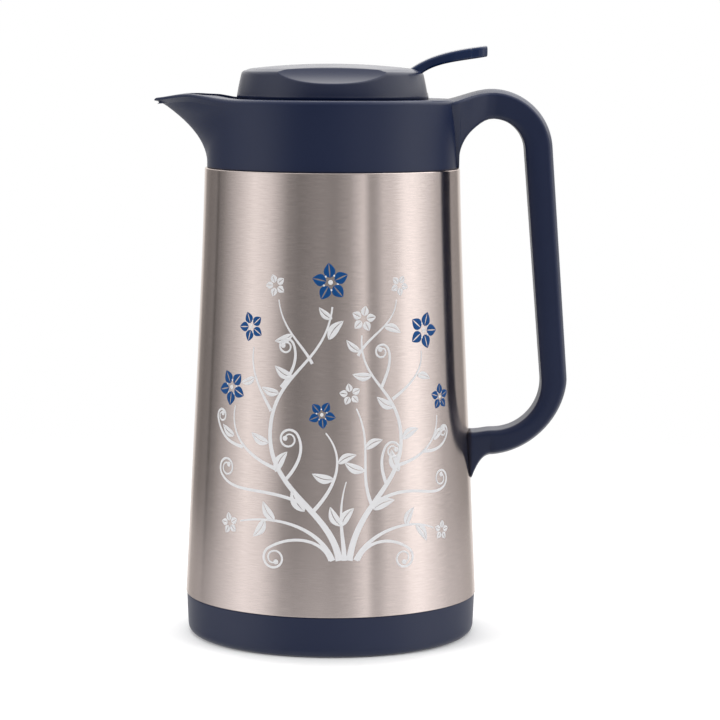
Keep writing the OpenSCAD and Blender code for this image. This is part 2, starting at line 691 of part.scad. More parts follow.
// Plan of the lever: narrow in the slot, wider and round-cornered at the thumb.
module lever_plan(from, to) {
    xs = [for (i = [0 : 12]) mix(20, tip_x, i / 12)];
    intersection() {
        polygon(concat([for (x = xs) [x, lever_half_w(x)]],
                       [for (i = [len(xs) - 1 : -1 : 0]) [xs[i], -lever_half_w(xs[i])]]));
        union() {
            translate([0, -thumb_w]) square([tip_x - tip_round, 2 * thumb_w]);
            translate([0, -thumb_w / 2 + tip_round]) square([tip_x, thumb_w - 2 * tip_round]);
            for (s = [-1, 1]) translate([tip_x - tip_round, s * (thumb_w / 2 - tip_round)])
                circle(r = tip_round, $fn = 48);
        }
        translate([from, -thumb_w]) square([to - from, 2 * thumb_w]);
    }
}

module lever_blade(from, to) {
    intersection() {
        rotate([90, 0, 0]) linear_extrude(40, center = true) lever_profile();
        translate([0, 0, 260]) linear_extrude(60) lever_plan(from, to);
    }
}

// Side view of the arm inside the lid: flat under the stem's head, then rising to the hub.
module lever_arm_profile() {
    under = fork_z - fork_r;
    over = fork_z + fork_r;
    polygon([[0, over], [head_r + 2, over], [pivot_x - 9, pivot_z + 1.6],
        [pivot_x, pivot_z + hub_r], [pivot_x, pivot_z - 1], [pivot_x - 7, pivot_z - 3],
        [fork_gap, under + 0.3], [0, under]]);
}

module lever() {
    color(lever_blue) difference() {
        union() {
            lever_blade(30, pad_x);
            translate([pivot_x, -hub_w / 2, pivot_z]) rotate([-90, 0, 0])
                cylinder(r = hub_r, h = hub_w, $fn = 48);
            rotate([90, 0, 0]) linear_extrude(hub_w, center = true) lever_arm_profile();
            translate([0, -hub_w / 2, fork_z]) rotate([-90, 0, 0])
                cylinder(r = fork_r, h = hub_w, $fn = 48);
        }
        translate([-10, -fork_gap / 2, fork_z - 10]) cube([10, fork_gap, 20]);
        translate([0, 0, fork_z - 10]) cylinder(d = fork_gap, h = 20, $fn = 48);
        translate([pivot_x, -20, pivot_z]) rotate([-90, 0, 0])
            cylinder(r = pin_r + pin_gap, h = 40, $fn = 32);
    }
}

module thumb_pad() {
    color(lever_blue) lever_blade(pad_x, tip_x);
}

// ---- valve -------------------------------------------------------------------------

module valve_stem() {
    color(bright) union() {
        cylinder_at(stem_r, disc_z + disc_h, head_z + head_h, 48);
        cylinder_at(2, disc_z + 0.4, disc_z + disc_h, 32);
    }
}

module stem_head() {
    color(navy) rotate_extrude($fn = 64) polygon([[stem_r, head_z], [head_r, head_z],
        [head_r, head_z + head_h - 0.8], [head_r - 0.8, head_z + head_h], [stem_r, head_z + head_h]]);
}

module valve_disc() {
    color(navy) rotate_extrude($fn = 64) polygon([[0, disc_z], [disc_r, disc_z],
        [disc_r, disc_z + disc_h - 0.8], [disc_r - 0.8, disc_z + disc_h], [2, disc_z + disc_h],
        [2, disc_z + 0.4], [0, disc_z + 0.4]]);
}

module valve_seal() {
    color(silicone) rotate_extrude($fn = 64)
        translate([port_r - 1.2, disc_z - seal_h]) square([disc_r - port_r + 0.6, seal_h]);
}

// A round wire swept along a helix between the valve disc and the stem's guide.
module valve_spring() {
    low = disc_z + disc_h + spring_wire / 2;
    high = chamber_z - spring_wire / 2;
    per_turn = 16;
    sides = 8;
    steps = spring_turns * per_turn;
    pts = [for (i = [0 : steps], k = [0 : sides - 1])
        let (a = 360 * i / per_turn, b = 360 * k / sides,
             r = spring_r + spring_wire / 2 * cos(b),
             z = mix(low, high, smooth(i / steps) * 0.25 + i / steps * 0.75))
        [r * cos(a), r * sin(a), z + spring_wire / 2 * sin(b)]];
    last = steps * sides;
    color(bright) polyhedron(points = pts, faces = concat(
        [for (i = [0 : steps - 1], k = [0 : sides - 1]) let (n = (k + 1) % sides)
            each [[i * sides + k, i * sides + n, (i + 1) * sides + k],
                  [i * sides + n, (i + 1) * sides + n, (i + 1) * sides + k]]],
        [[for (k = [sides - 1 : -1 : 0]) k]],
        [[for (k = [0 : sides - 1]) last + k]]));
}

outer_sleeve();
shoulder();
mouth_ring();
neck_gasket();
liner_inner();
liner_outer();
spacer_pads();
flask_cushion();
base_ring();
base_cap();
handle_bracket();
handle_screw();
stopper_gasket();
stopper_body();
lid_cover();
lid_screws();
lever_pin();
stem_seal();
lever();
thumb_pad();
valve_stem();
stem_head();
valve_disc();
valve_seal();
valve_spring();
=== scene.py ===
# %% [markdown]
# # A steel and plastic vacuum jug
# The jug is a tapered steel sleeve between two dark mouldings, with a stopper lid and a thumb
# lever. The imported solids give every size; this lesson builds fine surfaces over the pieces
# that the eye meets, and gives every other piece its material.

# %% Frame
import json
from bisect import bisect_left
from math import (acos, asin, atan2, copysign, cos, degrees, dist, hypot, pi, radians, sin,
                  sqrt, tan)

import bmesh
import bpy
from mathutils import Matrix, Vector

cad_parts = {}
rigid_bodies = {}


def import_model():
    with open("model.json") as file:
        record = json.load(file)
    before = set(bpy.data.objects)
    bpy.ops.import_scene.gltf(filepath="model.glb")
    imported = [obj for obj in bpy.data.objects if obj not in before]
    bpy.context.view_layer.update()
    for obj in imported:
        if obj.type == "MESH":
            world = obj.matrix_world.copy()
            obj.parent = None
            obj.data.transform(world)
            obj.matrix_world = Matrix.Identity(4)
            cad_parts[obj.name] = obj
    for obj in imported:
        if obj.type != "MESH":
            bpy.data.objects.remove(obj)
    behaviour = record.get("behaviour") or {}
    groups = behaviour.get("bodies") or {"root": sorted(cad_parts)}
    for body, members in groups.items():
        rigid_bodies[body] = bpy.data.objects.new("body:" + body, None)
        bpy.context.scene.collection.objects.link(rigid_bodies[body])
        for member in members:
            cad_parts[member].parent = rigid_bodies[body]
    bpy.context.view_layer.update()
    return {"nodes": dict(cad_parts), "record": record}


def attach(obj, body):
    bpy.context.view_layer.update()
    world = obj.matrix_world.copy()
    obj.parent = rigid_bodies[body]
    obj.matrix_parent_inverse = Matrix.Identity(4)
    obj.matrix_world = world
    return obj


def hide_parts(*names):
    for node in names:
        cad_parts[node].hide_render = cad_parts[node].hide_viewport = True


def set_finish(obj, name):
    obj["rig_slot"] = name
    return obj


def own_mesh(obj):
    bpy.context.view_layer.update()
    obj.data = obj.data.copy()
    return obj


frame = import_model()
nodes = frame["nodes"]

# %% [markdown]
# ## Drawing in millimetres
# A jug is drawn in millimetres and Blender works in metres, so the helpers take points in
# millimetres and scale once. Most pieces are skins over rings of points: rings of equal length
# are joined by quads. A skin like that is even, it shades smoothly, and its edges lie where the
# shape turns, which a boolean cut would not give.

# %% Mesh helpers
MM = 0.001


def make_piece(name, points, faces):
    """A new object from points in millimetres."""
    mesh = bpy.data.meshes.new(name)
    mesh.from_pydata([[c * MM for c in p] for p in points], [], faces)
    tidy = bmesh.new()
    tidy.from_mesh(mesh)
    bmesh.ops.remove_doubles(tidy, verts=tidy.verts, dist=1e-7)
    bmesh.ops.dissolve_degenerate(tidy, edges=tidy.edges, dist=1e-8)
    bmesh.ops.recalc_face_normals(tidy, faces=tidy.faces)
    tidy.to_mesh(mesh)
    tidy.free()
    mesh.shade_smooth()
    piece = bpy.data.objects.new(name, mesh)
    bpy.context.scene.collection.objects.link(piece)
    return piece


def skin(name, rings, caps=False, joined=False):
    """A piece through closed rings of points, capped or joined back to its first ring."""
    count, around = len(rings), len(rings[0])
    faces = []
    for k in range(count if joined else count - 1):
        low, high = k * around, (k + 1) % count * around
        faces += [(low + i, low + (i + 1) % around, high + (i + 1) % around, high + i)
                  for i in range(around)]
    if caps:
        faces += [tuple(range(around)), tuple(range((count - 1) * around, count * around))]
    return make_piece(name, [p for ring in rings for p in ring], faces)


def flat_shading(piece):
    """Flat faces keep flat shading right up to their rounded edges."""
    even = piece.modifiers.new("even_normals", "WEIGHTED_NORMAL")
    even.keep_sharp = True


def mix(a, b, t):
    return a + (b - a) * t


def smooth(t):
    u = min(1.0, max(0.0, t))
    return u * u * (3 - 2 * u)


def rise(x, start, end):
    """0 at start, 1 at end and smooth between them."""
    return smooth((x - start) / (end - start))


def locate(marks, x):
    """The stretch between rising marks that x lies in, and x's share of it."""
    k = min(max(bisect_left(marks, x), 1), len(marks) - 1) - 1
    return k, (x - marks[k]) / (marks[k + 1] - marks[k])


def bezier(p, t):
    """A point on the cubic curve with the four control points p."""
    s = 1 - t
    w = (s ** 3, 3 * s * s * t, 3 * s * t * t, t ** 3)
    return tuple(sum(w[k] * p[k][c] for k in range(4)) for c in range(len(p[0])))


def polar(r, a):
    return (r * cos(a), r * sin(a))


def on_circle(x, z, r, turned):
    """A point of a circle round (x, z), turned by so many degrees."""
    a = radians(turned)
    return (x + r * cos(a), z + r * sin(a))


def running_length(path):
    """Length along a path up to each of its points."""
    length = [0.0]
    for p, q in zip(path, path[1:]):
        length.append(length[-1] + dist(p, q))
    return length


def halving(low, high, past):
    """The value between low and high at which past(value) turns true."""
    for _ in range(40):
        mid = (low + high) / 2
        low, high = (low, mid) if past(mid) else (mid, high)
    return (low + high) / 2

# %% [markdown]
# ## Turned pieces
# The sleeve, the base and the rims are turned shapes. A turned piece is a half-section spun
# round the axis. Real edges are never knife sharp, so each corner of the section gets a small
# fillet first, and that fillet is what catches the light.

# %% Fillets and lathe
FILLET_STEPS = 5


def filleted(section, radii):
    """The section's points with each corner rounded by its radius."""
    out = []
    for i, (corner, radius) in enumerate(zip(section, radii)):
        if radius <= 0:
            out.append(corner)
            continue
        here = Vector(corner)
        back = Vector(section[i - 1]) - here
        ahead = Vector(section[(i + 1) % len(section)]) - here
        reach = min(radius / tan(back.angle(ahead) / 2), back.length * 0.49, ahead.length * 0.49)
        start = here + back.normalized() * reach
        end = here + ahead.normalized() * reach
        for k in range(FILLET_STEPS + 1):
            t = k / FILLET_STEPS
            out.append(tuple(start.lerp(here, t).lerp(here.lerp(end, t), t)))
    return out


def lathe(name, section, radii, turns):
    """A closed turned piece from a half-section of (radius, height) points."""
    piece = skin(name, [[(*polar(r, 2 * pi * i / turns), z) for i in range(turns)]
                        for r, z in filleted(section, radii)], joined=True)
    flat_shading(piece)
    return piece

# %% [markdown]
# ## The steel sleeve
# The sleeve is sheet steel rolled into a cone and welded up the back. Its upper edge is curled
# over a groove in the shoulder, and its lower edge stands just proud of the base. It could be a
# plain cone, but the curl's bright rim and the dark gap above it say that this is sheet metal.

# %% Sleeve
FOOT_R, TOP_R, BOW = 75.0, 65.2, 4.2
SLEEVE_LOW, SLEEVE_TOP = 20.5, 239.3
SHEET = 0.8


def sleeve_r(z):
    """Outer radius of the sleeve at height z: a cone, a little slimmer in its upper half."""
    u = (SLEEVE_TOP - z) / (SLEEVE_TOP - SLEEVE_LOW)
    return mix(TOP_R, FOOT_R, u) - BOW * u * (1 - u) ** 2


side_z = [SLEEVE_LOW + 0.5] + list(range(30, 236, 10))
sleeve_section = [(FOOT_R - 0.02, SLEEVE_LOW)] + [(sleeve_r(z) - 0.004, z) for z in side_z] + [
    (TOP_R, SLEEVE_TOP), (63.1, SLEEVE_TOP), (63.1, SLEEVE_TOP - SHEET),
    (TOP_R - SHEET, SLEEVE_TOP - SHEET), (FOOT_R - SHEET, SLEEVE_LOW)]
sleeve = lathe("steel_sleeve", sleeve_section,
               [0.35] + [0] * len(side_z) + [0.75, 0.2, 0.2, 0, 0.2], turns=360)
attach(sleeve, "jug")
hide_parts("outer_sleeve")
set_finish(sleeve, "sleeve_steel")
print("sleeve:", len(sleeve.data.vertices), "points")

# %% [markdown]
# ## The shoulder moulding
# One moulding carries the collar, the spout and the deck round the lid. In plan each level is a
# circle drawn out to a nose, and from above the deck is open: a round well for the lid, with a
# trough that leads to the spout. Every outline is star shaped about the axis, so one list of
# directions serves all rings, from the groove up over the rim and down the inside.

# %% Outlines of the nose
COLLAR_R, FLARE = 64.0, 1.0
RIM_R = COLLAR_R + FLARE
DECK_Z, RIM_SINK, RIM_ROUND, RIM_FULL = 275.0, 0.7, 1.2, 2.1
NOSE_Z, NOSE_END_Z, NOSE_UNDER = 241.0, 271.7, 22.84
SPOUT_REACH, LIP_IN, LIP_HOLLOW = 91.15, 1.6, 1.6
LIP_FLOOR_Z = 272.62
WALL, WALL_DROP, WELL_R, BORE_R, BASIN_Z = 2.6, 2, 47.8, 50.45, 256.0
TROUGH_HALF, TROUGH_END, TIP_HALF, TIP_CRISP = 24.3, 4.8, 3.4, 0.7
NOSE_SHARP, NOSE_RUN, NOSE_BLUNT = 0.37, 0.62, 8
LIFT, TIP_FALL, NOTCH_X, NOTCH_EDGE = 1.64, 2.5, -78, 0.6
GROOVE_R, GROOVE_Z = 63.0, 238.35
# heights between which the rim's rounder edge and its rise come in
EDGE_FROM, EDGE_FULL, LIFT_FROM, LIFT_FULL = 262, 273, 268, 274


def body_r(z):
    return COLLAR_R + FLARE * rise(z, NOSE_Z, DECK_Z)


def nose_reach(z):
    if z < NOSE_Z:
        return body_r(z)
    if z < NOSE_END_Z:
        grown = NOSE_UNDER * ((z - NOSE_Z) / (NOSE_END_Z - NOSE_Z)) ** 2
        return max(body_r(z), COLLAR_R + grown)
    return mix(COLLAR_R + NOSE_UNDER, SPOUT_REACH, lip_share(z))


def lip_share(z):
    return min(1, max(0, (z - NOSE_END_Z) / (DECK_Z - RIM_ROUND - NOSE_END_Z)))


def lip_reach(z):
    """Reach of the lip's end, which juts out at the very tip and has a small drip groove."""
    t = lip_share(z)
    return SPOUT_REACH - LIP_IN * (1 - t) - LIP_HOLLOW * sin(pi * t)


def nose_side(r, reach, inset=0.0):
    """The nose in plan as angles and radii, from where it leaves the circle to its tip."""
    q = r - inset
    d = max(reach - inset, q + 0.001)
    a = acos(q / (d + NOSE_SHARP * (d - q) + 0.001))
    start = (-q * cos(a), q * sin(a))
    run = NOSE_RUN * (d - q * cos(a))
    lead = (start[0] - run * sin(a), start[1] - run * cos(a))
    half = TIP_HALF * smooth((d - q) / NOSE_BLUNT)
    curve = [bezier([start, lead, (-d, half), (-d, 0)], k / 60) for k in range(61)]
    return [atan2(y, x) for x, y in curve], [hypot(x, y) for x, y in curve]


def outline_radius(side, r, angle):
    """Radius of a level's outline in one direction, from its nose curve and its circle."""
    angles, radii = side
    if abs(angle) <= angles[0]:
        return r
    k, t = locate(angles, abs(angle))
    return mix(radii[k], radii[k + 1], t)

# %% Directions shared by all rings
ROUND_COUNT, NOSE_COUNT = 150, 64


def shared_directions():
    """Angles spaced by length along the rim, closer together on the nose."""
    angles, radii = nose_side(RIM_R, SPOUT_REACH)
    back = [angles[0] * (2 * i / ROUND_COUNT - 1) for i in range(ROUND_COUNT)]
    walk = [polar(r, a) for a, r in zip(angles, radii)]
    length = running_length(walk)
    nose = []
    for i in range(NOSE_COUNT):
        k, t = locate(length, length[-1] * i / NOSE_COUNT)
        nose.append(atan2(mix(walk[k][1], walk[k + 1][1], t), mix(walk[k][0], walk[k + 1][0], t)))
    return back + nose + [pi] + [-a for a in reversed(nose[1:])]


DIRECTIONS = shared_directions()
print("directions round the shoulder:", len(DIRECTIONS))

# %% Rim, deck and trough
def rim_lift(x):
    """The rim lies a little low round the lid, climbs to the spout and falls to its tip."""
    return (LIFT + RIM_SINK) * rise(x, -47, -74) - RIM_SINK - TIP_FALL * rise(x, -72, -94)


def notch_drop(x, y):
    """How far the pouring notch lowers the lip near the tip."""
    if x > NOTCH_X:
        return 0.0
    half = mix(4.6, 1.5, rise(x, -80, -91))
    depth = mix(3.2, 1.45, rise(x, -82, -91))
    return depth * smooth((half - abs(y)) / (half * 0.75))


def trough_reach(z):
    if z > LIP_FLOOR_Z - 1:
        return SPOUT_REACH - TROUGH_END
    rise = max(0, z - WALL_DROP - NOSE_Z) / (NOSE_END_Z - NOSE_Z)
    return COLLAR_R - WALL + NOSE_UNDER * rise ** 2


def hole_radius(angle, z):
    """Radius of the open well and trough in one direction."""
    if cos(angle) >= 0:
        return WELL_R
    inner = outline_radius(nose_side(COLLAR_R - WALL, trough_reach(z)), COLLAR_R - WALL, angle)
    s = abs(sin(angle))
    return inner if s < 1e-6 else max(WELL_R, min(inner, TROUGH_HALF / s))


def rim_round(x):
    """The rim's edge radius: full round the collar, smaller on the lip."""
    return mix(RIM_ROUND, RIM_FULL, rise(x, -74, -58))


def level_ring(z, inset=0.0, reach=None, r=None):
    """One ring of the outer skin; a reach of its own leaves out the lip's hollow. The upper
    part takes the rim's rise and its rounder edge."""
    with_lip = reach is None and z >= NOSE_END_Z
    r = body_r(z) if r is None else r
    side = nose_side(r, nose_reach(z) if reach is None else reach, inset)
    lip = nose_side(r, lip_reach(z), inset) if with_lip else None
    ring = []
    for a in DIRECTIONS:
        radius = outline_radius(side, r - inset, a)
        if lip and cos(a) < 0:
            at_tip = rise(abs(radius * sin(a)), 5.5, 1.5)
            radius = mix(radius, outline_radius(lip, r - inset, a), at_tip)
        grown = rim_round(radius * cos(a)) / RIM_ROUND
        x, y = polar(radius - inset * (grown - 1), a)
        if z > DECK_Z - RIM_ROUND:
            below = (DECK_Z - z) * grown
        else:
            below = DECK_Z - z + RIM_ROUND * (grown - 1) * rise(z, EDGE_FROM, EDGE_FULL)
        ring.append((x, y, DECK_Z - below + rim_lift(x) * rise(z, LIFT_FROM, LIFT_FULL)))
    return ring


def rim_ring(z, inset):
    """A ring of the rim's rounded edge, whose tip is a little crisper than its sides."""
    return level_ring(z, inset, SPOUT_REACH + TIP_CRISP * inset, RIM_R)


def deck_ring(share, drop=0.0, widen=0.0):
    """A ring on the deck, from the rim (share 0) to the edge of the hole (share 1)."""
    ring = []
    for a, (rim_x, rim_y, _) in zip(DIRECTIONS, rim_ring(DECK_Z, RIM_ROUND)):
        outer = hypot(rim_x, rim_y)
        inner = hole_radius(a, DECK_Z) - widen
        x, y = polar(mix(outer, min(inner, outer - 0.4), share), a)
        lift = mix(-RIM_SINK, rim_lift(rim_x), rise(x, -46, -60))
        height = DECK_Z + lift - drop - notch_drop(x, y)
        ring.append((x, y, max(height, LIP_FLOOR_Z) if x < NOTCH_X else height))
    return ring


def round_ring(r, z):
    return [(*polar(r, a), z) for a in DIRECTIONS]


def inner_ring(z):
    """A ring on the inside of well and trough, cut down by the pouring notch at the top."""
    ring = []
    for a in DIRECTIONS:
        x, y = polar(hole_radius(a, z), a)
        cut = max(LIP_FLOOR_Z, z + rim_lift(x) - notch_drop(x, y))
        ring.append((x, y, min(z, cut) if z > LIP_FLOOR_Z else z))
    return ring


def floor_ring(share):
    """A ring on the floor, from the wall's foot (share 0) to the mouth ring's bore (share 1)."""
    ring = []
    for a in DIRECTIONS:
        hole = hole_radius(a, BASIN_Z)
        radius = mix(hole - 0.5, BORE_R, share) if hole > 51 else WELL_R
        ring.append((*polar(radius, a), BASIN_Z))
    return ring

# %% Shoulder skin
outer_rings = [round_ring(GROOVE_R, GROOVE_Z), round_ring(GROOVE_R, 239.3),
               level_ring(239.35, inset=0.25)]
outer_rings += [level_ring(z) for z in (
    239.6, 240.2, 241.5, 243.5, 246, 248.5, 251, 253.5, 256, 258.5, 261, 263.5, 265.5, 267.5, 269,
    270.2, 271.1, 271.69, 271.7, 271.8, 272.1, 272.5, 272.9, 273.3, 273.6, DECK_Z - RIM_ROUND)]
for turned in (15, 30, 45, 60, 75, 90):
    inset = RIM_ROUND * (1 - cos(radians(turned)))
    ring = rim_ring(DECK_Z - RIM_ROUND * (1 - sin(radians(turned))), inset)
    outer_rings.append([(x, y, z - NOTCH_EDGE * notch_drop(x, y) * turned / 90)
                        for x, y, z in ring])
deck_rings = [deck_ring(s) for s in (0.06, 0.2, 0.4, 0.6, 0.8, 0.94)]
deck_rings += [deck_ring(1.0, widen=-0.15), deck_ring(1.0, drop=0.12, widen=-0.02),
               deck_ring(1.0, drop=0.45)]
inner_rings = [inner_ring(z) for z in (273.6, LIP_FLOOR_Z, 271.1, 268.5, 265, 262, 259, 257,
                                       BASIN_Z + 0.5)]
floor_rings = [floor_ring(share) for share in (0.0, 0.5, 1.0)]
hidden_rings = [round_ring(r, z) for r, z in (
    (BORE_R, 253.4), (61.0, 253.4), (61.0, 226.0), (63.8, 226.0), (63.8, GROOVE_Z))]
shoulder = skin("shoulder_moulding",
                outer_rings + deck_rings + inner_rings + floor_rings + hidden_rings, joined=True)
flat_shading(shoulder)
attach(shoulder, "jug")
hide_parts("shoulder")
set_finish(shoulder, "navy_plastic")
print("shoulder:", len(shoulder.data.vertices), "points")

# %% [markdown]
# ## The grip
# The grip is one thick rounded bar that leaves the deck in a wide root, arches over, leans
# outwards as it goes down and curls back to the sleeve. A curve with a bevel would give one
# round section all the way. Here each slice has its own width, a crowned outer face and small
# edge radii, so the long highlight along the edge comes from the form.

# %% Slices of the grip
ARCH_X, ARCH_Z, ARCH_R, CROWN_R, ARCH_RISE, ARCH_EXTRA = 81.4, 248.0, 16.7, 31.2, 0.6, 2
BEND_X, BEND_Z, BEND_OUT, BEND_IN, BEND_CUT = 83.0, 130.0, 38.2, 24.7, 1.7
GRIP_W, ROOT_W, FOOT_W, LEAN, CROWN = 21.0, 52.0, 19.0, 4.76, 1.6
FOOT_X, FOOT_RUN, FOOT_LOW_Z, FOOT_TOP_Z, FOOT_HOLLOW = 72.6, 11.4, 76.6, 104.2, 2.4
ROOT_LOW_Z = 239.6
FILLET_X, FILLET_Z, FILLET_R, ROOT_UNDER = 85.3, 243.9, 20.9, 0.6
ROUND_LOW, ROUND_DEEP, ARCH_START = 2.6, 7.0, 88
EDGE_IN, EDGE_OUT, EDGE_STEPS = 2.6, 1.7, 7


def grip_ring(inner, outer, w_in, w_out, deep):
    """Points round one slice, between its inner and its outer point in side view."""
    run = dist(inner, outer)
    along = ((outer[0] - inner[0]) / run, (outer[1] - inner[1]) / run)
    crown = min(CROWN, run * 0.15)
    side_in, side_out = min(EDGE_IN, w_in / 2 - 0.1), EDGE_OUT
    deep = min(deep, run / 2 - 0.1)
    flat = run - crown - side_out
    half = [(0.0, 0.0)]
    for k in range(EDGE_STEPS + 1):
        a = radians(90 - 90 * k / EDGE_STEPS)
        half.append((deep * (1 - sin(a)), w_in / 2 - side_in * (1 - cos(a))))
    half += [(mix(deep, flat, k / 8), mix(w_in, w_out, k / 8) / 2) for k in range(1, 8)]
    for k in range(EDGE_STEPS + 1):
        a = radians(90 * k / EDGE_STEPS)
        half.append((flat + side_out * sin(a), w_out / 2 - side_out * (1 - cos(a))))
    top = w_out / 2 - side_out
    for y in (top * (1 - k / 7) for k in range(1, 8)):
        half.append((run - crown * (y / top) ** 2, y))
    ring = [(d, -y) for d, y in half] + [(d, y) for d, y in reversed(half[1:-1])]
    return [(inner[0] + d * along[0], y, inner[1] + d * along[1]) for d, y in ring]


def root_top(x):
    return mix(DECK_Z - RIM_SINK - ROOT_UNDER, ARCH_Z + CROWN_R + ARCH_RISE, rise(x, 52, 81))


def root_arch(x):
    """Lower edge of the root: a wide fillet from the collar up into the arch."""
    if x < FILLET_X - FILLET_R + 0.1:
        return ROOT_LOW_Z
    fillet = FILLET_Z + sqrt(max(0, FILLET_R ** 2 - (FILLET_X - x) ** 2))
    arch = ARCH_Z + sqrt(max(0, ARCH_R ** 2 - (ARCH_X - x) ** 2))
    return mix(fillet, arch, rise(x, 72, 82))


def root_width(x, z):
    """The root flares towards the shoulder, and more towards the deck."""
    flare = (1 - rise(x, 58, 82)) * (z - ROOT_LOW_Z) / (DECK_Z - ROOT_LOW_Z)
    return GRIP_W + (ROOT_W - GRIP_W) * flare


def grip_slices():
    """(inner point, outer point, inner width, outer width, depth of the inner edge's rounding)
    from the root to the foot."""
    out = []
    for x in (54, 57, 60, 62.5, 63.8, 64.48, 64.52, 64.7, 65.0, 65.5, 66.2, 67.2, 68.4, 69.8, 71.4,
              73.2, 75.2, 77.4, 79.6):
        low, high = root_arch(x), root_top(x)
        out.append(((x, low), (x, high), root_width(x, low),
                    root_width(x, high) + ARCH_EXTRA * rise(x, 70, 78), ROUND_LOW))
    for k in range(27):
        a = mix(ARCH_START, LEAN, k / 26)
        t = (90 - a) / 90
        out.append((on_circle(ARCH_X, ARCH_Z, ARCH_R, a),
                    on_circle(ARCH_X, ARCH_Z + ARCH_RISE * (1 - t), CROWN_R - 0.1 * t, a),
                    GRIP_W, mix(GRIP_W + ARCH_EXTRA, GRIP_W, t),
                    mix(ROUND_LOW, ROUND_DEEP, smooth(t))))
    ends = zip(out[-1][:2], [on_circle(BEND_X, BEND_Z, r, LEAN) for r in (BEND_IN, BEND_OUT)])
    sides = [[(mix(top[0], low[0], k / 12), mix(top[1], low[1], k / 12)) for k in range(1, 12)]
             for top, low in ends]
    out += [(inner, outer, GRIP_W, GRIP_W, ROUND_DEEP) for inner, outer in zip(*sides)]
    for k in range(31):
        a = mix(LEAN, -90, k / 30)
        t = smooth(-a / 90)
        w = mix(GRIP_W, FOOT_W, t)
        cut = BEND_CUT * sin(pi * min(1, max(0, -a / 90)))
        out.append((on_circle(BEND_X, BEND_Z, BEND_IN, a),
                    on_circle(BEND_X, BEND_Z, BEND_OUT - cut, a), w, w,
                    mix(ROUND_DEEP, ROUND_LOW, t)))
    low = BEND_Z - BEND_OUT
    for k in range(1, 13):
        x = mix(BEND_X, FOOT_X, k / 12)
        t = (BEND_X - x) / FOOT_RUN
        inner_z = mix(BEND_Z - BEND_IN, FOOT_TOP_Z, smooth(t * 1.1))
        outer_z = low - (low - FOOT_LOW_Z) * t ** FOOT_HOLLOW
        out.append(((x, inner_z), (x, outer_z), FOOT_W, FOOT_W - 1, ROUND_LOW))
    return out


def on_sleeve(ring):
    """The foot's last ring, moved onto the round sleeve that it rests against, 0.1 mm deep."""
    return [(sqrt((sleeve_r(z) - 0.1) ** 2 - y ** 2), y, z) for x, y, z in ring]


grip_rings = [grip_ring(*s) for s in grip_slices()]
grip = skin("grip", grip_rings + [on_sleeve(grip_rings[-1])], caps=True)
flat_shading(grip)
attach(grip, "jug")
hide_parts("shoulder")
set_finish(grip, "navy_plastic")
print("grip:", len(grip.data.vertices), "points")

# %% [markdown]
# ## The base
# The base is a moulded ring that the sleeve sits on, with a cap screwed in from below to reach
# the glass flask. Only the ring's side shows when the jug stands, but people turn a jug over,
# so the foot, the groove round the cap and its grip bar are all there.

# %% Base ring
corner = [(71.0 + 2.9 * sin(radians(a)), 4.5 - 4.5 * cos(radians(a)))
          for a in range(0, 91, 9)]
ring_section = corner + [(74.58, 19.9), (74.08, 20.45), (73.9, 20.45), (73.35, 31.9),
                         (71.2, 31.9), (70.8, 6), (61, 6), (61, 16), (58.05, 16), (58.05, 3),
                         (65, 3), (65, 0)]
ring_radii = [0.3] + [0] * 9 + [0.5, 0.5, 0.2, 0, 0.3, 0.3, 0.8, 0.5, 0.4, 0.3, 0.6, 0.8, 0.8]
base = lathe("base_moulding", ring_section, ring_radii, turns=320)
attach(base, "jug")
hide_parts("base_ring")
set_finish(base, "navy_plastic")
print("base ring:", len(base.data.vertices), "points")

# %% [markdown]
# ## The lid
# The lid is a low dome with a tapered wall and two finger scoops, where a long drum seems to
# have been pressed into its edge. The crisp line round a scoop is what makes it read as
# moulded. A boolean would leave that line jagged, so the lid is made of columns from the
# middle to the lower edge, and each column knows where it enters and leaves the drum.

# %% Lid profile
LID_LOW_R, LID_TOP_R, LID_Z, DOME_SAG = 48.95, 46.8, 292.1, 3.2
SKIRT_Z, EDGE_ROUND, EDGE_Z = 274.45, 2.4, 286.2
DOME_END_R = LID_TOP_R - EDGE_ROUND - 3.0
SCOOP_R, SCOOP_RIM_Y, SCOOP_LOW_Y, SCOOP_LOW_Z = 34.0, 34.5, 47.5, 282.5
SLOT_X, SLOT_HALF, SLOT_Z, SLOT_FREE, LID_WALL = 34.2, 6.9, 277.6, radians(34), 2.0


def dome_z(r):
    return LID_Z - DOME_SAG * (r / LID_TOP_R) ** 2


def lid_profile():
    """The half-section from the middle of the dome to the lower edge, closely spaced."""
    pts = [(r * 0.5, dome_z(r * 0.5)) for r in range(0, int(DOME_END_R * 2))]
    centre = (LID_TOP_R - EDGE_ROUND - 0.1, EDGE_Z)
    arc = [on_circle(*centre, EDGE_ROUND, mix(78, 8, k / 24)) for k in range(25)]
    start, first, heading = (DOME_END_R, dome_z(DOME_END_R)), arc[0], radians(78)
    lead = (start[0] + 1.6, start[1] - DOME_SAG * 2 * start[0] / LID_TOP_R ** 2 * 1.6)
    back = (first[0] - 1.2 * sin(heading), first[1] + 1.2 * cos(heading))
    pts += [bezier([start, lead, back, first], k / 12) for k in range(12)] + arc
    for t in (k / 20 for k in range(1, 21)):
        pts.append((mix(arc[-1][0], LID_LOW_R, 1 - (1 - t) ** 1.25), mix(arc[-1][1], SKIRT_Z, t)))
    return pts


PROFILE = lid_profile()
PROFILE_S = running_length(PROFILE)


def profile_at(s):
    """The profile's point at length s from the middle."""
    k, t = locate(PROFILE_S, s)
    p, q = PROFILE[k:k + 2]
    return (mix(p[0], q[0], t), mix(p[1], q[1], t))


def length_where(test, start=0.0, stop=PROFILE_S[-1]):
    """Length along the profile at which test first turns true."""
    return halving(start, stop, lambda s: test(profile_at(s)))

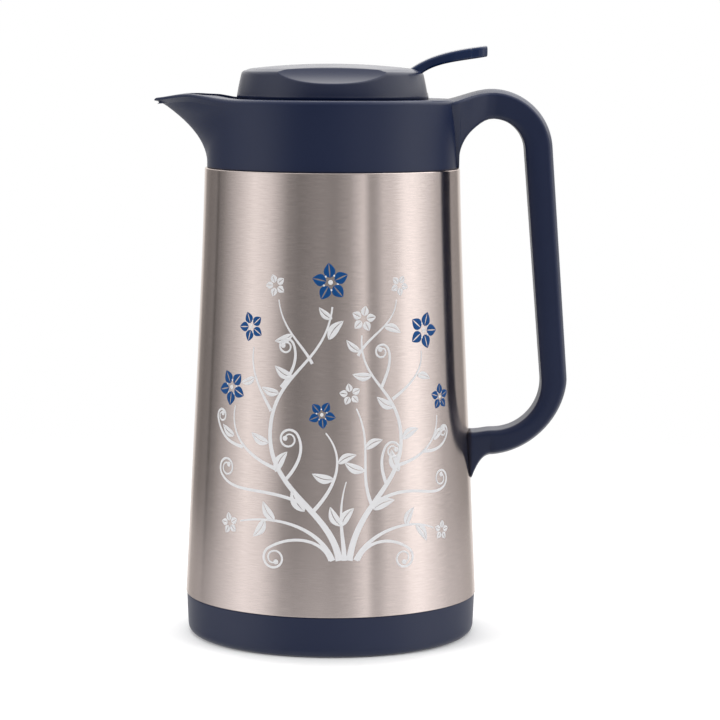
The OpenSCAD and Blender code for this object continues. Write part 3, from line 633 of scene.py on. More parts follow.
# %% Finger scoops
scoop_high = (SCOOP_RIM_Y, dome_z(SCOOP_RIM_Y))
scoop_low = (SCOOP_LOW_Y, SCOOP_LOW_Z)
chord = dist(scoop_high, scoop_low)
sink = sqrt(SCOOP_R ** 2 - (chord / 2) ** 2) / chord
DRUM = ((scoop_high[0] + scoop_low[0]) / 2 + sink * (scoop_high[1] - scoop_low[1]),
        (scoop_high[1] + scoop_low[1]) / 2 + sink * (scoop_low[0] - scoop_high[0]))
print("scoop drum centre (y, z):", [round(v, 2) for v in DRUM])


def in_drum(r, z, s):
    """How deep a point is inside a scoop's drum, in millimetres; s is |sin| of its angle."""
    return SCOOP_R - hypot(r * s - DRUM[0], z - DRUM[1])


def scoop_span(s):
    """Lengths at which a column enters and leaves the drum, or None."""
    end, steps = PROFILE_S[-1], 600
    inside = [k for k in range(steps + 1) if in_drum(*profile_at(end * k / steps), s) > 0]
    if not inside:
        return None
    first, last = end * inside[0] / steps, end * inside[-1] / steps
    step = end / steps
    return (length_where(lambda p: in_drum(*p, s) > 0, max(0, first - step), first),
            length_where(lambda p: in_drum(*p, s) <= 0, last, min(end, last + step)))


def drum_point(r, z, s):
    """The point of the drum straight out from (r, z) in its column."""
    dy, dz = r * s - DRUM[0], z - DRUM[1]
    k = SCOOP_R / hypot(dy, dz)
    return ((DRUM[0] + dy * k) / s, DRUM[1] + dz * k)

# %% Columns of the lid
REST_SPAN = 0.7          # half of the middle stretch where no scoop cuts the column
CORNER = 0.45            # rounding of the scoop's edges
DOME_ROWS, SPAN_ROWS, WALL_ROWS, FOOT_ROWS = 25, 18, 14, 2
SLOT_TURN, SLOT_CORNER = asin(SLOT_HALF / SLOT_X) * 0.985, asin(SLOT_HALF / 35.0)
SLOT_BLEND, SLOT_EASE = radians(38), (13, 35)
FINE, COARSE, NEAR_CORNER = 0.5, 1.5, 5       # degrees between columns, and near a corner
corner_s = next(s for s in (k / 400 for k in range(400)) if scoop_span(s))
MEETING = sum(scoop_span(corner_s)) / 2
EYE_END = degrees(asin(corner_s))
print("scoop's corners lie", round(90 - EYE_END, 1), "degrees from its middle")


def column(theta):
    """One column as (radius, height) points, and whether a scoop cuts it."""
    s = abs(sin(theta))
    span = scoop_span(s) if s >= corner_s else None
    enter, leave = (MEETING - REST_SPAN, MEETING + REST_SPAN)
    if span:
        enter, leave = min(span[0], enter), max(span[1], leave)
    if abs(theta) < SLOT_BLEND:
        edge = SLOT_X / cos(min(abs(theta), SLOT_CORNER))
        enter = mix(length_where(lambda p: p[0] >= edge), enter,
                    rise(abs(degrees(theta)), *SLOT_EASE))
    pts = [profile_at(enter * (1 - (1 - k / DOME_ROWS) ** 1.15)) for k in range(DOME_ROWS)]
    for k in range(SPAN_ROWS + 1):
        p = profile_at(mix(enter, leave, k / SPAN_ROWS))
        pts.append(drum_point(*p, s) if span and in_drum(*p, s) > 0 else p)
    slot_s = length_where(lambda p: p[1] <= SLOT_Z)
    for start, end, count in ((leave, slot_s, WALL_ROWS), (slot_s, PROFILE_S[-1], FOOT_ROWS)):
        pts += [profile_at(mix(start, end, k / count)) for k in range(1, count + 1)]
    return pts, bool(span)


def soften(pts, index):
    """Moves the point at a crisp corner onto a small curve."""
    here = Vector(pts[index])
    before, after = Vector(pts[index - 1]) - here, Vector(pts[index + 1]) - here
    if before.angle(after) <= radians(176):
        turn_in = before.normalized() + after.normalized()
        pts[index] = tuple(here + turn_in * CORNER * 0.25)


def slot_angle(theta, r):
    """Bends the columns beside the lever's slot so that one of them is its straight side."""
    a = abs(theta)
    if a >= SLOT_FREE or r < 1:
        return theta
    side = asin(min(1, SLOT_HALF / max(r, SLOT_HALF / sin(SLOT_TURN))))
    beside = mix(side, SLOT_FREE, (a - SLOT_TURN) / (SLOT_FREE - SLOT_TURN))
    return copysign(a * side / SLOT_TURN if a <= SLOT_TURN else beside, theta)


def lid_angles():
    """Column directions: even, closer at the scoops' corners, one on each side of the slot."""
    side = degrees(SLOT_TURN)
    out = [SLOT_TURN * k / 5 for k in range(-5, 6)]
    corners = (EYE_END, 180 - EYE_END, 180 + EYE_END, 360 - EYE_END)
    a = side
    while a < 358 - side:
        a += FINE if min(abs(a - e) for e in corners) < NEAR_CORNER else COARSE
        if a < 360 - side - 0.6:
            out.append(radians(a))
    return [t if t <= pi else t - 2 * pi for t in out]


angles = lid_angles()
columns = [column(t) for t in angles]
rows = len(columns[0][0])
lid_points = []
for theta, (pts, cut) in zip(angles, columns):
    if cut:
        soften(pts, DOME_ROWS)
        soften(pts, DOME_ROWS + SPAN_ROWS)
    lid_points += [(*polar(r, slot_angle(theta, r)), z) for r, z in pts]
SLOT_COLUMNS = 10        # the first columns lie across the slot and have no wall
lid_faces = []
for c in range(len(angles)):
    here, there = c * rows, (c + 1) % len(angles) * rows
    for k in range(rows - 1):
        if c >= SLOT_COLUMNS or not DOME_ROWS <= k < rows - 1 - FOOT_ROWS:
            lid_faces.append((here + k, here + k + 1, there + k + 1, there + k))
lid = make_piece("lid_dome", lid_points, lid_faces)
if any(face.normal.z < -0.5 for face in lid.data.polygons):
    lid.data.flip_normals()
shell = lid.modifiers.new("wall", "SOLIDIFY")
shell.thickness = LID_WALL * MM
shell.offset = -1
shell.use_even_offset = True
shell.use_quality_normals = True
flat_shading(lid)
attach(lid, "lid")
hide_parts("lid_cover")
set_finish(lid, "lid_plastic")
print("lid:", len(lid.data.vertices), "points in", len(angles), "columns")

# %% [markdown]
# ## The thumb lever
# The lever is a springy-looking tongue: narrow where it leaves the lid, wider at the thumb, and
# thinner towards its tip. Its side view is two curves, and slices between them carry a rounded
# section. Inside the lid it ends in a hub on a pin and a fork under the valve's stem.

# %% Lever slices
PIVOT_X, PIVOT_Z, HUB_R, HUB_W = 37.0, 281.4, 3.9, 13.0
THUMB_W, TIP_X, PAD_X, TIP_CORNER, TIP_ROUND, SEAM = 21.0, 78.4, 70.3, 5.0, 0.7, 0.12
TOP_CURVE = [(33.5, 284.5), (44, 296.2), (60, 299.6), (TIP_X, 301.7)]
UNDER_CURVE = [(40.5, 281.9), (47, 293), (62, 293.2), (TIP_X, 296.1)]


def curve_at_x(curve, x):
    """The curve's point at x."""
    return bezier(curve, halving(0.0, 1.0, lambda t: bezier(curve, t)[0] >= x))


def lever_width(x):
    w = mix(HUB_W, THUMB_W, rise(x, 46, 64))
    past = x - (TIP_X - TIP_CORNER)
    if past > 0:
        w -= 2 * (TIP_CORNER - sqrt(max(0, TIP_CORNER ** 2 - past ** 2)))
    return w


def bar_ring(top, under, width, edge=1.3, crown=0.35, shrink=0.0):
    """A rounded slice of a bar between its top and under point."""
    tall = dist(top, under)
    height = tall - 2 * shrink
    up = ((top[0] - under[0]) / tall, (top[1] - under[1]) / tall)
    half = width / 2 - shrink
    e = min(edge, height / 2 - 0.05, half - 0.05)
    pts = [(height - crown * (y / half) ** 2, y) for y in ((half - e) * k / 4 for k in range(5))]
    for a in (radians(90 * k / 5) for k in range(1, 6)):
        pts.append((height - crown - e + e * cos(a), half - e + e * sin(a)))
    for a in (radians(90 * k / 5) for k in range(6)):
        pts.append((e - e * sin(a), half - e + e * cos(a)))
    pts += [(0.0, (half - e) * (1 - k / 4)) for k in range(1, 5)]
    ring = pts + [(h, -y) for h, y in reversed(pts[1:-1])]
    low = (under[0] + up[0] * shrink, under[1] + up[1] * shrink)
    return [(low[0] + h * up[0], y, low[1] + h * up[1]) for h, y in ring]


def lever_slice(t):
    """Top and under points of the lever at t, slanted at the lid and upright at the thumb."""
    top, under = bezier(TOP_CURVE, t), bezier(UNDER_CURVE, t)
    x = mix(under[0], top[0], smooth((t - 0.15) / 0.5))
    return top, curve_at_x(UNDER_CURVE, x)


def upright_ring(x, shrink=0.0, width_x=None):
    """An upright slice of the thumb's end, as wide as the lever is at width_x."""
    return bar_ring(curve_at_x(TOP_CURVE, x), curve_at_x(UNDER_CURVE, x),
                    lever_width(width_x or x), shrink=shrink)


seam_t = next(k / 2000 for k in range(2001) if bezier(TOP_CURVE, k / 2000)[0] >= PAD_X)
slices = [lever_slice(mix(0.0, seam_t, k / 40)) for k in range(41)]
blade_rings = [bar_ring(top, under, lever_width((top[0] + under[0]) / 2)) for top, under in slices]
blade_rings.append(bar_ring(*slices[-1], lever_width(PAD_X), shrink=SEAM))
blade = skin("lever_blade", blade_rings, caps=True)
pad_rings = [upright_ring(PAD_X + 0.02, SEAM), upright_ring(PAD_X + 0.1)]
tip_x = TIP_X - TIP_ROUND
pad_rings += [upright_ring(mix(PAD_X + 0.1, tip_x, k / 24)) for k in range(1, 25)]
for a in (radians(turned) for turned in (20, 40, 60, 80, 90)):
    pad_rings.append(upright_ring(tip_x + TIP_ROUND * sin(a) - 0.001, TIP_ROUND * (1 - cos(a)),
                                  tip_x))
pad = skin("thumb_tip", pad_rings, caps=True)

# %% Hub and fork of the lever
hub_rings = []
for y, r in ((-6.5, 3.4), (-6.35, 3.75), (-6.0, HUB_R), (6.0, HUB_R), (6.35, 3.75), (6.5, 3.4)):
    circle = [polar(r, 2 * pi * k / 64) for k in range(64)]
    hub_rings.append([(PIVOT_X + x, y, PIVOT_Z + z) for x, z in circle])
hub = skin("lever_hub", hub_rings, caps=True)
arm_line = [(34.5, 284.6, 278.6), (30, 283.3, 278.4), (24, 282.2, 277.4), (16, 280.6, 276.0),
            (9.5, 279.3, 274.9), (5, 279.25, 274.4)]
arm = skin("lever_arm_inside", [bar_ring((x, high), (x, low), HUB_W, edge=0.8, crown=0.1)
                                for x, high, low in arm_line], caps=True)
PRONG_Y, PRONG_Z, PRONG_W = 5.2, 276.8, 2.6
prongs = []
for name, side in (("lever_prong_a", -1), ("lever_prong_b", 1)):
    rings = []
    for x, h in ((5.4, 2.45), (2, 2.45), (0, 2.45), (-1.4, 2.0), (-2.2, 1.1), (-2.45, 0.4)):
        ring = bar_ring((x, PRONG_Z + h), (x, PRONG_Z - h), PRONG_W, edge=0.5, crown=0.0)
        rings.append([(px, py + side * PRONG_Y, pz) for px, py, pz in ring])
    prongs.append(skin(name, rings, caps=True))
for piece in (blade, hub, arm, *prongs):
    flat_shading(piece)
    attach(piece, "lever_arm")
    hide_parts("lever")
    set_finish(piece, "lever_plastic")
flat_shading(pad)
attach(pad, "lever_arm")
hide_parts("thumb_pad")
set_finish(pad, "lever_plastic")
print("lever:", len(blade.data.vertices) + len(pad.data.vertices), "points")

# %% [markdown]
# ## Threads and spring
# The stopper screws into the mouth with a coarse two-turn thread, and a spring inside holds the
# valve shut. Both are helices: one section swept round while it climbs. The thread's ends fade
# into the wall, as a moulded thread does.

# %% Helices
THREAD_TURNS, THREAD_STEPS, THREAD_FADE = 1.7, 64, 0.12


def helix(name, radius, low, high, section):
    """A thread: a section of (out, up) points swept along a helix; its ends fade to nothing."""
    steps = int(THREAD_TURNS * THREAD_STEPS)
    rings = []
    for i in range(steps + 1):
        t = i / steps
        a = 2 * pi * THREAD_TURNS * t
        grown = smooth(min(t, 1 - t) / THREAD_FADE) * 0.999 + 0.001
        rings.append([(*polar(radius + out * grown, a), mix(low, high, t) + up * mix(0.6, 1, grown))
                      for out, up in section])
    return skin(name, rings, caps=True)


thread = [(-0.3, -1.0), (0.1, -1.0), (0.62, -0.42), (0.62, 0.42), (0.1, 1.0), (-0.3, 1.0)]
plug_thread = helix("stopper_thread", 33.0, 248.6, 254.0, thread)
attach(plug_thread, "lid")
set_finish(plug_thread, "lid_plastic")
mouth_thread = helix("mouth_thread", 34.5, 247.6, 253.4, [(-out, up) for out, up in thread])
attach(mouth_thread, "jug")
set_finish(mouth_thread, "navy_plastic")

WIRE, COIL_R, SPRING_LOW, SPRING_HIGH = 0.55, 6.2, 232.15, 266.0
SPRING_TURNS, SPRING_STEPS = 7.5, 300
DEAD, DEAD_CLIMB = 0.09, 0.035      # each closed end's share of the wire, and of the climb


def spring_climb(t):
    """Share of the spring's height at share t of its wire: slow in its closed ends."""
    if t < DEAD:
        return smooth(t / DEAD) * DEAD_CLIMB
    if t < 1 - DEAD:
        return DEAD_CLIMB + 0.93 * (t - DEAD) / (1 - 2 * DEAD)
    return 1 - DEAD_CLIMB + DEAD_CLIMB * smooth((t - 1 + DEAD) / DEAD)


spring_rings = []
wire = [polar(WIRE, 2 * pi * k / 12) for k in range(12)]
for t in (i / SPRING_STEPS for i in range(SPRING_STEPS + 1)):
    z = mix(SPRING_LOW + WIRE, SPRING_HIGH - WIRE, spring_climb(t))
    spring_rings.append([(*polar(COIL_R + out, 2 * pi * SPRING_TURNS * t), z + up)
                         for out, up in wire])
spring = skin("closing_spring", spring_rings, caps=True)
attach(spring, "lid")
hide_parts("valve_spring")
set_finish(spring, "plain_steel")
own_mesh(spring)

# %% [markdown]
# ## The printed spray
# The front of the sleeve is screen printed: white stems and leaves with blue and white
# blossoms. A print could be a mask in the steel's shader, but ink is a thin layer with a clean
# edge and its own gloss. So each stroke is a strip laid on the cone, a few hundredths of a
# millimetre thick. The spray is drawn flat, as distance round the sleeve and height, and then
# wrapped.

# %% Ink on the cone
INK, INK_SUNK, INK_STEP, INK_LEVELS, WRAP_R = 0.05, 0.02, 0.0006, 37, 70.0
CURL_STEPS, CURL_TIGHT = 30, 0.62
ink_layers = {"print_white": ([], []), "print_blue": ([], [])}


def on_cone(u, z, lift):
    """A point of the flat drawing, u round the sleeve from the front and z high, on the cone."""
    r = sleeve_r(z) + lift
    return (r * sin(u / WRAP_R), -r * cos(u / WRAP_R), z)


def add_ink(layer, grid):
    """Adds one closed thin patch from a grid of (u, z) points."""
    points, faces = ink_layers[layer]
    lift = INK + INK_STEP * (len(faces) % INK_LEVELS)     # crossing strokes don't share a surface
    base, m, n = len(points), len(grid), len(grid[0])
    for height in (lift, -INK_SUNK):
        points.extend(on_cone(u, z, height) for row in grid for u, z in row)
    under = m * n
    for i in range(m - 1):
        for a in range(base + i * n, base + i * n + n - 1):
            faces.append((a, a + 1, a + n + 1, a + n))
            faces.append((under + a + n, under + a + n + 1, under + a + 1, under + a))
    border = [(0, j) for j in range(n)] + [(i, n - 1) for i in range(1, m)] + \
        [(m - 1, j) for j in range(n - 2, -1, -1)] + [(i, 0) for i in range(m - 2, 0, -1)]
    border = [base + i * n + j for i, j in border]
    for a, b in zip(border, border[1:] + border[:1]):
        faces.append((a, a + under, b + under, b))


def stroke(path, thick, thin):
    """A strip along a path of (u, z) points that tapers from its root to its tip."""
    grid = []
    last = len(path) - 1
    for i, (u, z) in enumerate(path):
        p, q = path[max(0, i - 1)], path[min(last, i + 1)]
        run = dist(p, q)
        side = (-(q[1] - p[1]) / run, (q[0] - p[0]) / run)
        w = mix(thick, thin, (i / last) ** 0.8)
        grid.append([(u + side[0] * w * s, z + side[1] * w * s) for s in (-0.5, 0.0, 0.5)])
    add_ink("print_white", grid)


def curve_path(*ends):
    """Points along cubic curves that join end to end: four control points, then three each."""
    path = [ends[0]]
    for first in range(0, len(ends) - 1, 3):
        path += [bezier(ends[first:first + 4], k / 26) for k in range(1, 27)]
    return path


def curl(path, radius, turns, turn):
    """The path with a tightening curl on its end."""
    (u0, z0), (u, z) = path[-2:]
    heading = atan2(z - z0, u - u0)
    out = list(path)
    for k in range(int(CURL_STEPS * turns)):
        r = radius * (1 - CURL_TIGHT * k / (CURL_STEPS * turns))
        step = 2 * pi * r / CURL_STEPS
        heading += turn * 2 * pi / CURL_STEPS
        u, z = u + step * cos(heading), z + step * sin(heading)
        out.append((u, z))
    return out


def leaf(layer, u, z, heading, length, width, slit, bend=0.0):
    """A leaf or petal of two halves with a bare slit along its middle."""
    c, s = polar(1, radians(heading))
    for side in (-1, 1):
        grid = []
        for t in (i / 14 for i in range(15)):
            along = length * t
            sag = bend * length * sin(pi * t) * 0.5
            fat = width / 2 * sin(pi * min(1, t ** 0.8)) ** 0.85 if 0 < t < 1 else 0.0
            near = min(slit / 2 * sin(pi * min(1, t * 0.94 + 0.03)), fat)
            offs = [(side * mix(near, fat, j / 3) + sag if fat else sag) + 0.002 * side * j
                    for j in range(4)]
            grid.append([(u + along * c - off * s, z + along * s + off * c) for off in offs])
        add_ink(layer, grid)


def dot(u, z, r):
    rings = [[polar(max(r * i / 4, 0.02), 2 * pi * j / 20) for j in range(21)] for i in range(5)]
    add_ink("print_white", [[(u + x, z + y) for x, y in ring] for ring in rings])


def blossom(layer, u, z, r, turn, centre=True):
    """A five-petalled flower; each petal is two halves, round a ring of small dots."""
    for k in range(5):
        heading = turn + 360 * k / 5
        leaf(layer, u + 0.24 * r * cos(radians(heading)), z + 0.24 * r * sin(radians(heading)),
             heading, r * 0.78, r * 0.64, 0.075 * r)
        if centre:
            a = radians(turn + 360 * (k + 0.5) / 5)
            dot(u + 0.4 * r * cos(a), z + 0.4 * r * sin(a), 0.055 * r)
    if centre:
        dot(u, z, 0.13 * r)

# %% Stems: their widths at root and tip, and their control points
for thick, thin, *ends in (
        (3.3, 0.9, (4.6, 49), (1, 76), (-34, 84), (-30, 116), (-27, 142), (-2, 146), (1, 174)),
        (3.1, 0.8, (9.4, 49), (13, 80), (40, 86), (36, 114), (33, 134), (14, 138), (16, 160)),
        (2.6, 0.5, (7, 49), (7, 60), (3, 72), (8, 88)),
        (2.5, 0.8, (1.6, 49), (-4, 64), (-22, 72), (-46, 66)),
        (2.4, 0.8, (12.4, 49), (18, 62), (37, 70), (55, 62)),
        (2.0, 0.7, (-25, 93), (-38, 97), (-56, 106), (-52, 123)),
        (1.7, 0.7, (-30, 122), (-36, 132), (-43, 140), (-41, 153)),
        (1.6, 0.6, (-9, 146), (-14, 156), (-25, 162), (-27, 177)),
        (1.9, 0.7, (33, 95), (46, 97), (60, 104), (60, 118)),
        (1.7, 0.7, (32, 128), (41, 134), (51, 140), (50, 151)),
        (1.5, 0.6, (14, 150), (20, 161), (34, 164), (35, 177)),
        (2.0, 0.7, (-9, 72), (4, 86), (8, 100), (-2, 112)),
        (1.8, 0.7, (21, 75), (13, 92), (22, 106), (13, 124))):
    stroke(curve_path(*ends), thick, thin)
print("faces of white ink with the stems:", len(ink_layers["print_white"][1]))

# %% Tendrils: the radius, turns and sense of their curl, and their control points
for radius, turns, turn, *ends in (
        (5.6, 1.5, 1, (0.4, 49), (-3, 60), (-18, 62), (-30, 54)),
        (5.2, 1.4, -1, (13.6, 49), (17, 59), (30, 61), (40, 53)),
        (5.2, 1.5, -1, (-11, 76), (-32, 86), (-50, 78), (-60, 88)),
        (4.8, 1.4, 1, (21.5, 77), (40, 88), (54, 76), (64, 82)),
        (5.0, 1.4, 1, (-22, 88), (-15, 96), (-12, 104), (-16, 111)),
        (4.4, 1.4, -1, (28, 86), (25, 94), (25, 100), (28, 105)),
        (3.6, 1.4, -1, (-46, 103), (-56, 104), (-62, 108), (-65, 116)),
        (3.4, 1.3, 1, (50, 101), (58, 100), (65, 102), (68, 108)),
        (4.0, 1.4, 1, (-25, 134), (-18, 142), (-16, 150), (-19, 156)),
        (3.8, 1.3, 1, (26, 134), (30, 142), (32, 148), (30, 153))):
    curled = curl(curve_path(*ends), radius, turns, turn)
    stroke(curled, 1.7, 0.7)
    dot(*curled[-1], 1.25)
print("and with the tendrils:", len(ink_layers["print_white"][1]))

# %% Leaves: place, heading and length
for u, z, heading, length in (
        (-12, 73, 120, 13), (-27, 92, 60, 12), (-31, 106, 155, 11), (-26, 131, 165, 10),
        (-19, 139, 150, 11), (-1, 158, 50, 12), (1, 168, 140, 9), (21, 74, 20, 12),
        (35, 92, 110, 12), (37, 108, 25, 11), (33, 124, 150, 11), (21, 140, 175, 10),
        (15, 152, 140, 9), (2, 89, 165, 11), (4, 97, 25, 10), (17, 93, 155, 11),
        (17.4, 104, 25, 10), (-32, 68, 235, 11), (-27, 68, 125, 11), (44, 65, -55, 11),
        (38, 65, 60, 10), (-52, 108, 150, 10), (57, 106, 30, 10), (-19.5, 160, 200, 10),
        (28, 164, -20, 10), (-40, 138, 200, 9), (47, 139, -15, 9), (5.4, 66, 118, 11),
        (5.4, 66, 55, 11)):
    leaf("print_white", u, z, heading, length, length * 0.42, 0.4, bend=0.18)
print("and with the leaves:", len(ink_layers["print_white"][1]))

# %% Blossoms: place, radius and turn
for u, z, r, turn in ((0, 186, 9.4, 96), (-43, 163, 7.4, 40), (52, 161, 9.2, 70),
                      (-55, 132, 9.0, 120), (63, 127, 6.6, 20), (-4, 121, 6.8, 60)):
    blossom("print_blue", u, z, r, turn)
for u, z, r, turn in ((17, 168, 6.4, 80), (-29, 184, 5.6, 110), (10, 131, 5.4, 100),
                      (37, 184, 5.2, 60), (-53, 64, 5.4, 30), (61, 60, 5.0, 10)):
    blossom("print_white", u, z, r, turn, centre=False)
prints = []
for name, (points, faces) in ink_layers.items():
    piece = make_piece(name, points, faces)
    flat_shading(piece)
    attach(piece, "jug")
    prints.append(piece)
    print(name, len(piece.data.polygons), "faces")

# %% [markdown]
# ## Effects shared by the finishes
# Moulded plastic, rubber and steel all need the same few things: a fine grain, slow changes of
# tone, and lighter edges, which are partly wear and partly a painted edge highlight. Each is a
# node group with named inputs, built once and then placed in each material with its own values.
# The shaders stay in the materials.

# %% Node helpers
COLOUR, NUMBER = "NodeSocketColor", "NodeSocketFloat"


def new_group(name, inputs, outputs):
    """An empty shader node group; inputs are (name, kind, default) and outputs (name, kind)."""
    group = bpy.data.node_groups.new(name, "ShaderNodeTree")
    for label, kind, default in inputs:
        socket = group.interface.new_socket(name=label, in_out="INPUT", socket_type=kind)
        socket.default_value = default
    for label, kind in outputs:
        group.interface.new_socket(name=label, in_out="OUTPUT", socket_type=kind)
    return group, group.nodes.new("NodeGroupInput"), group.nodes.new("NodeGroupOutput")


def feed(tree, node, sockets):
    """Sets inputs, by name or number, to a value, a node's first output or (node, output)."""
    for key, value in sockets.items():
        if isinstance(value, bpy.types.Node):
            value = (value, 0)
        if isinstance(value, tuple) and isinstance(value[0], bpy.types.Node):
            tree.links.new(value[0].outputs[value[1]], node.inputs[key])
        else:
            node.inputs[key].default_value = value


def add_node(tree, kind, sockets=None, **settings):
    """A shader node with its settings and its inputs."""
    node = tree.nodes.new("ShaderNode" + kind)
    for key, value in settings.items():
        setattr(node, key, value)
    feed(tree, node, sockets or {})
    return node


def maths(tree, operation, *values):
    return add_node(tree, "Math", dict(enumerate(values)), operation=operation)


def vector_maths(tree, operation, sockets):
    return add_node(tree, "VectorMath", sockets, operation=operation)


def noise(tree, vector, **sockets):
    return add_node(tree, "TexNoise", {"Vector": vector, **sockets})


def named(values):
    """Keyword values with the names of their sockets."""
    return {key.replace("_", " "): value for key, value in values.items()}

# %% Moulded grain: a fine texture and slow tone changes
grain, g_in, g_out = new_group(
    "moulded grain",
    [("Colour", COLOUR, (0.5, 0.5, 0.5, 1)), ("Grain per metre", NUMBER, 2500.0),
     ("Mottle", NUMBER, 0.06), ("Roughness", NUMBER, 0.4), ("Uneven", NUMBER, 0.06)],
    [("Colour", COLOUR), ("Roughness", NUMBER), ("Height", NUMBER)])
place = add_node(grain, "TexCoord")
fine = noise(grain, (place, "Object"), Scale=(g_in, "Grain per metre"), Detail=2.0, Roughness=0.6)
broad = noise(grain, (place, "Object"), Scale=38.0, Detail=3.0)
centre = maths(grain, "SUBTRACT", (broad, "Fac"), 0.5)
spread = maths(grain, "MULTIPLY_ADD", centre, (g_in, "Mottle"), 1.0)
tone = vector_maths(grain, "SCALE", {0: (g_in, "Colour"), "Scale": spread})
rough = maths(grain, "MULTIPLY_ADD", centre, (g_in, "Uneven"), (g_in, "Roughness"))
feed(grain, g_out, {"Colour": tone, "Roughness": rough, "Height": (fine, "Fac")})
print(grain.name, "has", len(grain.nodes), "nodes")

# %% Worn and lit edges: a mask where the surface turns sharply, lightened as wear and as a painted edge highlight
worn_and_lit, e_in, e_out = new_group(
    "rubbed edges",
    [("Colour", COLOUR, (0.5, 0.5, 0.5, 1)), ("Rubbed", COLOUR, (0.7, 0.7, 0.7, 1)),
     ("Reach", NUMBER, 0.0008), ("Amount", NUMBER, 0.5)],
    [("Colour", COLOUR), ("Mask", NUMBER)])
MIX_A, MIX_B, MIX_RESULT = 6, 7, 2      # the colour sockets of a mix node
turned = add_node(worn_and_lit, "Bevel", {"Radius": (e_in, "Reach")}, samples=4)
shape = add_node(worn_and_lit, "NewGeometry")
agree = vector_maths(worn_and_lit, "DOT_PRODUCT", {0: (turned, "Normal"), 1: (shape, "Normal")})
edge = add_node(worn_and_lit, "MapRange", {"Value": (agree, "Value"), "From Min": 0.995,
                                     "From Max": 0.93})
place = add_node(worn_and_lit, "TexCoord")
patchy = noise(worn_and_lit, (place, "Object"), Scale=130.0, Detail=4.0)
broken = add_node(worn_and_lit, "MapRange", {"Value": (patchy, "Fac"), "From Min": 0.35,
                                       "From Max": 0.65})
amount = maths(worn_and_lit, "MULTIPLY", maths(worn_and_lit, "MULTIPLY", edge, broken), (e_in, "Amount"))
# the lighter colour mixed in at the edges is partly wear and partly a painted highlight
blend = add_node(worn_and_lit, "Mix", {"Factor": amount, MIX_A: (e_in, "Colour"),
                                 MIX_B: (e_in, "Rubbed")}, data_type="RGBA")
feed(worn_and_lit, e_out, {"Colour": (blend, MIX_RESULT), "Mask": amount})
print(worn_and_lit.name, "has", len(worn_and_lit.nodes), "nodes")

# %% Turned brushing: fine lines that run round the axis
brushing, b_in, b_out = new_group(
    "turned brushing", [("Lines per metre", NUMBER, 5200.0), ("Length", NUMBER, 9.0)],
    [("Lines", NUMBER), ("Streaks", NUMBER)])
place = add_node(brushing, "TexCoord")
split = add_node(brushing, "SeparateXYZ", {0: (place, "Object")})
around = maths(brushing, "ARCTAN2", (split, "X"), (split, "Y"))
laid = add_node(brushing, "CombineXYZ", {
    "X": maths(brushing, "MULTIPLY", around, (b_in, "Length")),
    "Y": maths(brushing, "MULTIPLY", (split, "Z"), (b_in, "Lines per metre"))})
lines = noise(brushing, laid, Scale=1.0, Detail=3.0, Roughness=0.75)
slow = vector_maths(brushing, "MULTIPLY", {0: laid, 1: (0.35, 0.06, 1.0)})
streaks = noise(brushing, slow, Scale=1.0, Detail=2.0)
feed(brushing, b_out, {"Lines": (lines, "Fac"), "Streaks": (streaks, "Fac")})
print(brushing.name, "has", len(brushing.nodes), "nodes")

# %% Materials from one recipe
def principled(name, **sockets):
    """A material with one Principled shader; keys name its sockets."""
    material = bpy.data.materials.new(name)
    material.use_nodes = True
    tree = material.node_tree
    shader = tree.nodes["Principled BSDF"]
    feed(tree, shader, named(sockets))
    return material, tree, shader


def place_group(tree, group, **values):
    return add_node(tree, "Group", named(values), node_tree=group)


def bumped(tree, height, strength, depth):
    return add_node(tree, "Bump", {"Height": height, "Strength": strength, "Distance": depth})


def moulded(name, colour, roughness, grain_size, grain_depth, worn_lit_colour, worn_lit_amount=0.35,
            mottle=0.1, uneven=0.12, **sockets):
    """Moulded plastic or rubber: grain, slow tone changes and lighter edges, partly wear and partly
    a painted highlight.
    """
    material, tree, shader = principled(name, **sockets)
    body = place_group(tree, grain, Colour=(*colour, 1), Grain_per_metre=grain_size,
                       Mottle=mottle, Roughness=roughness, Uneven=uneven)
    worn_lit_tone = place_group(tree, worn_and_lit, Colour=(body, "Colour"), Rubbed=(*worn_lit_colour, 1),
                       Amount=worn_lit_amount)
    feed(tree, shader, {"Base Color": (worn_lit_tone, "Colour"), "Roughness": (body, "Roughness"),
                        "Normal": bumped(tree, (body, "Height"), 1.0, grain_depth)})
    return material

# %% [markdown]
# ## Plastics, rubber and felt
# The collar, grip and base share a satin navy. The lid is the same resin with a finer, duller
# texture, and the lever is polished, so it looks bluer. One recipe with different values keeps
# them a family.

# %% Plastics
# each material's second colour is its edge colour: partly wear, partly a painted edge highlight
navy = moulded("navy satin plastic", (0.004, 0.010, 0.039), 0.41, 2600.0, 6e-6,
               (0.05, 0.06, 0.12), Specular_IOR_Level=0.42)
lid_navy = moulded("lid plastic", (0.003, 0.008, 0.034), 0.31, 3400.0, 1e-5,
                   (0.07, 0.08, 0.14), mottle=0.12, Specular_IOR_Level=0.6)
lever_blue = moulded("lever plastic", (0.004, 0.015, 0.058), 0.16, 1500.0, 3e-6,
                     (0.05, 0.09, 0.2), uneven=0.08, Specular_IOR_Level=0.4)
silicone = moulded("milky silicone", (0.72, 0.72, 0.69), 0.5, 1800.0, 1e-5,
                   (0.8, 0.8, 0.78), Subsurface_Weight=0.2)
rubber = moulded("black rubber", (0.03, 0.03, 0.032), 0.62, 1600.0, 3e-5, (0.08, 0.08, 0.08))
felt = moulded("mineral felt", (0.62, 0.59, 0.52), 0.95, 900.0, 0.0002, (0.7, 0.68, 0.6),
               mottle=0.3, Sheen_Weight=0.3)

# %% [markdown]
# ## Steel, glass and ink
# The sleeve is brushed round its axis, so its highlights spread up and down and stay narrow
# from side to side. That is anisotropy: one roughness along the brushing and another across it.
# Fine lines in the roughness and a slight bump break the bands up close to.

# %% Steel
STREAKS = (0.86, 1.14)       # how far the streaks change the roughness


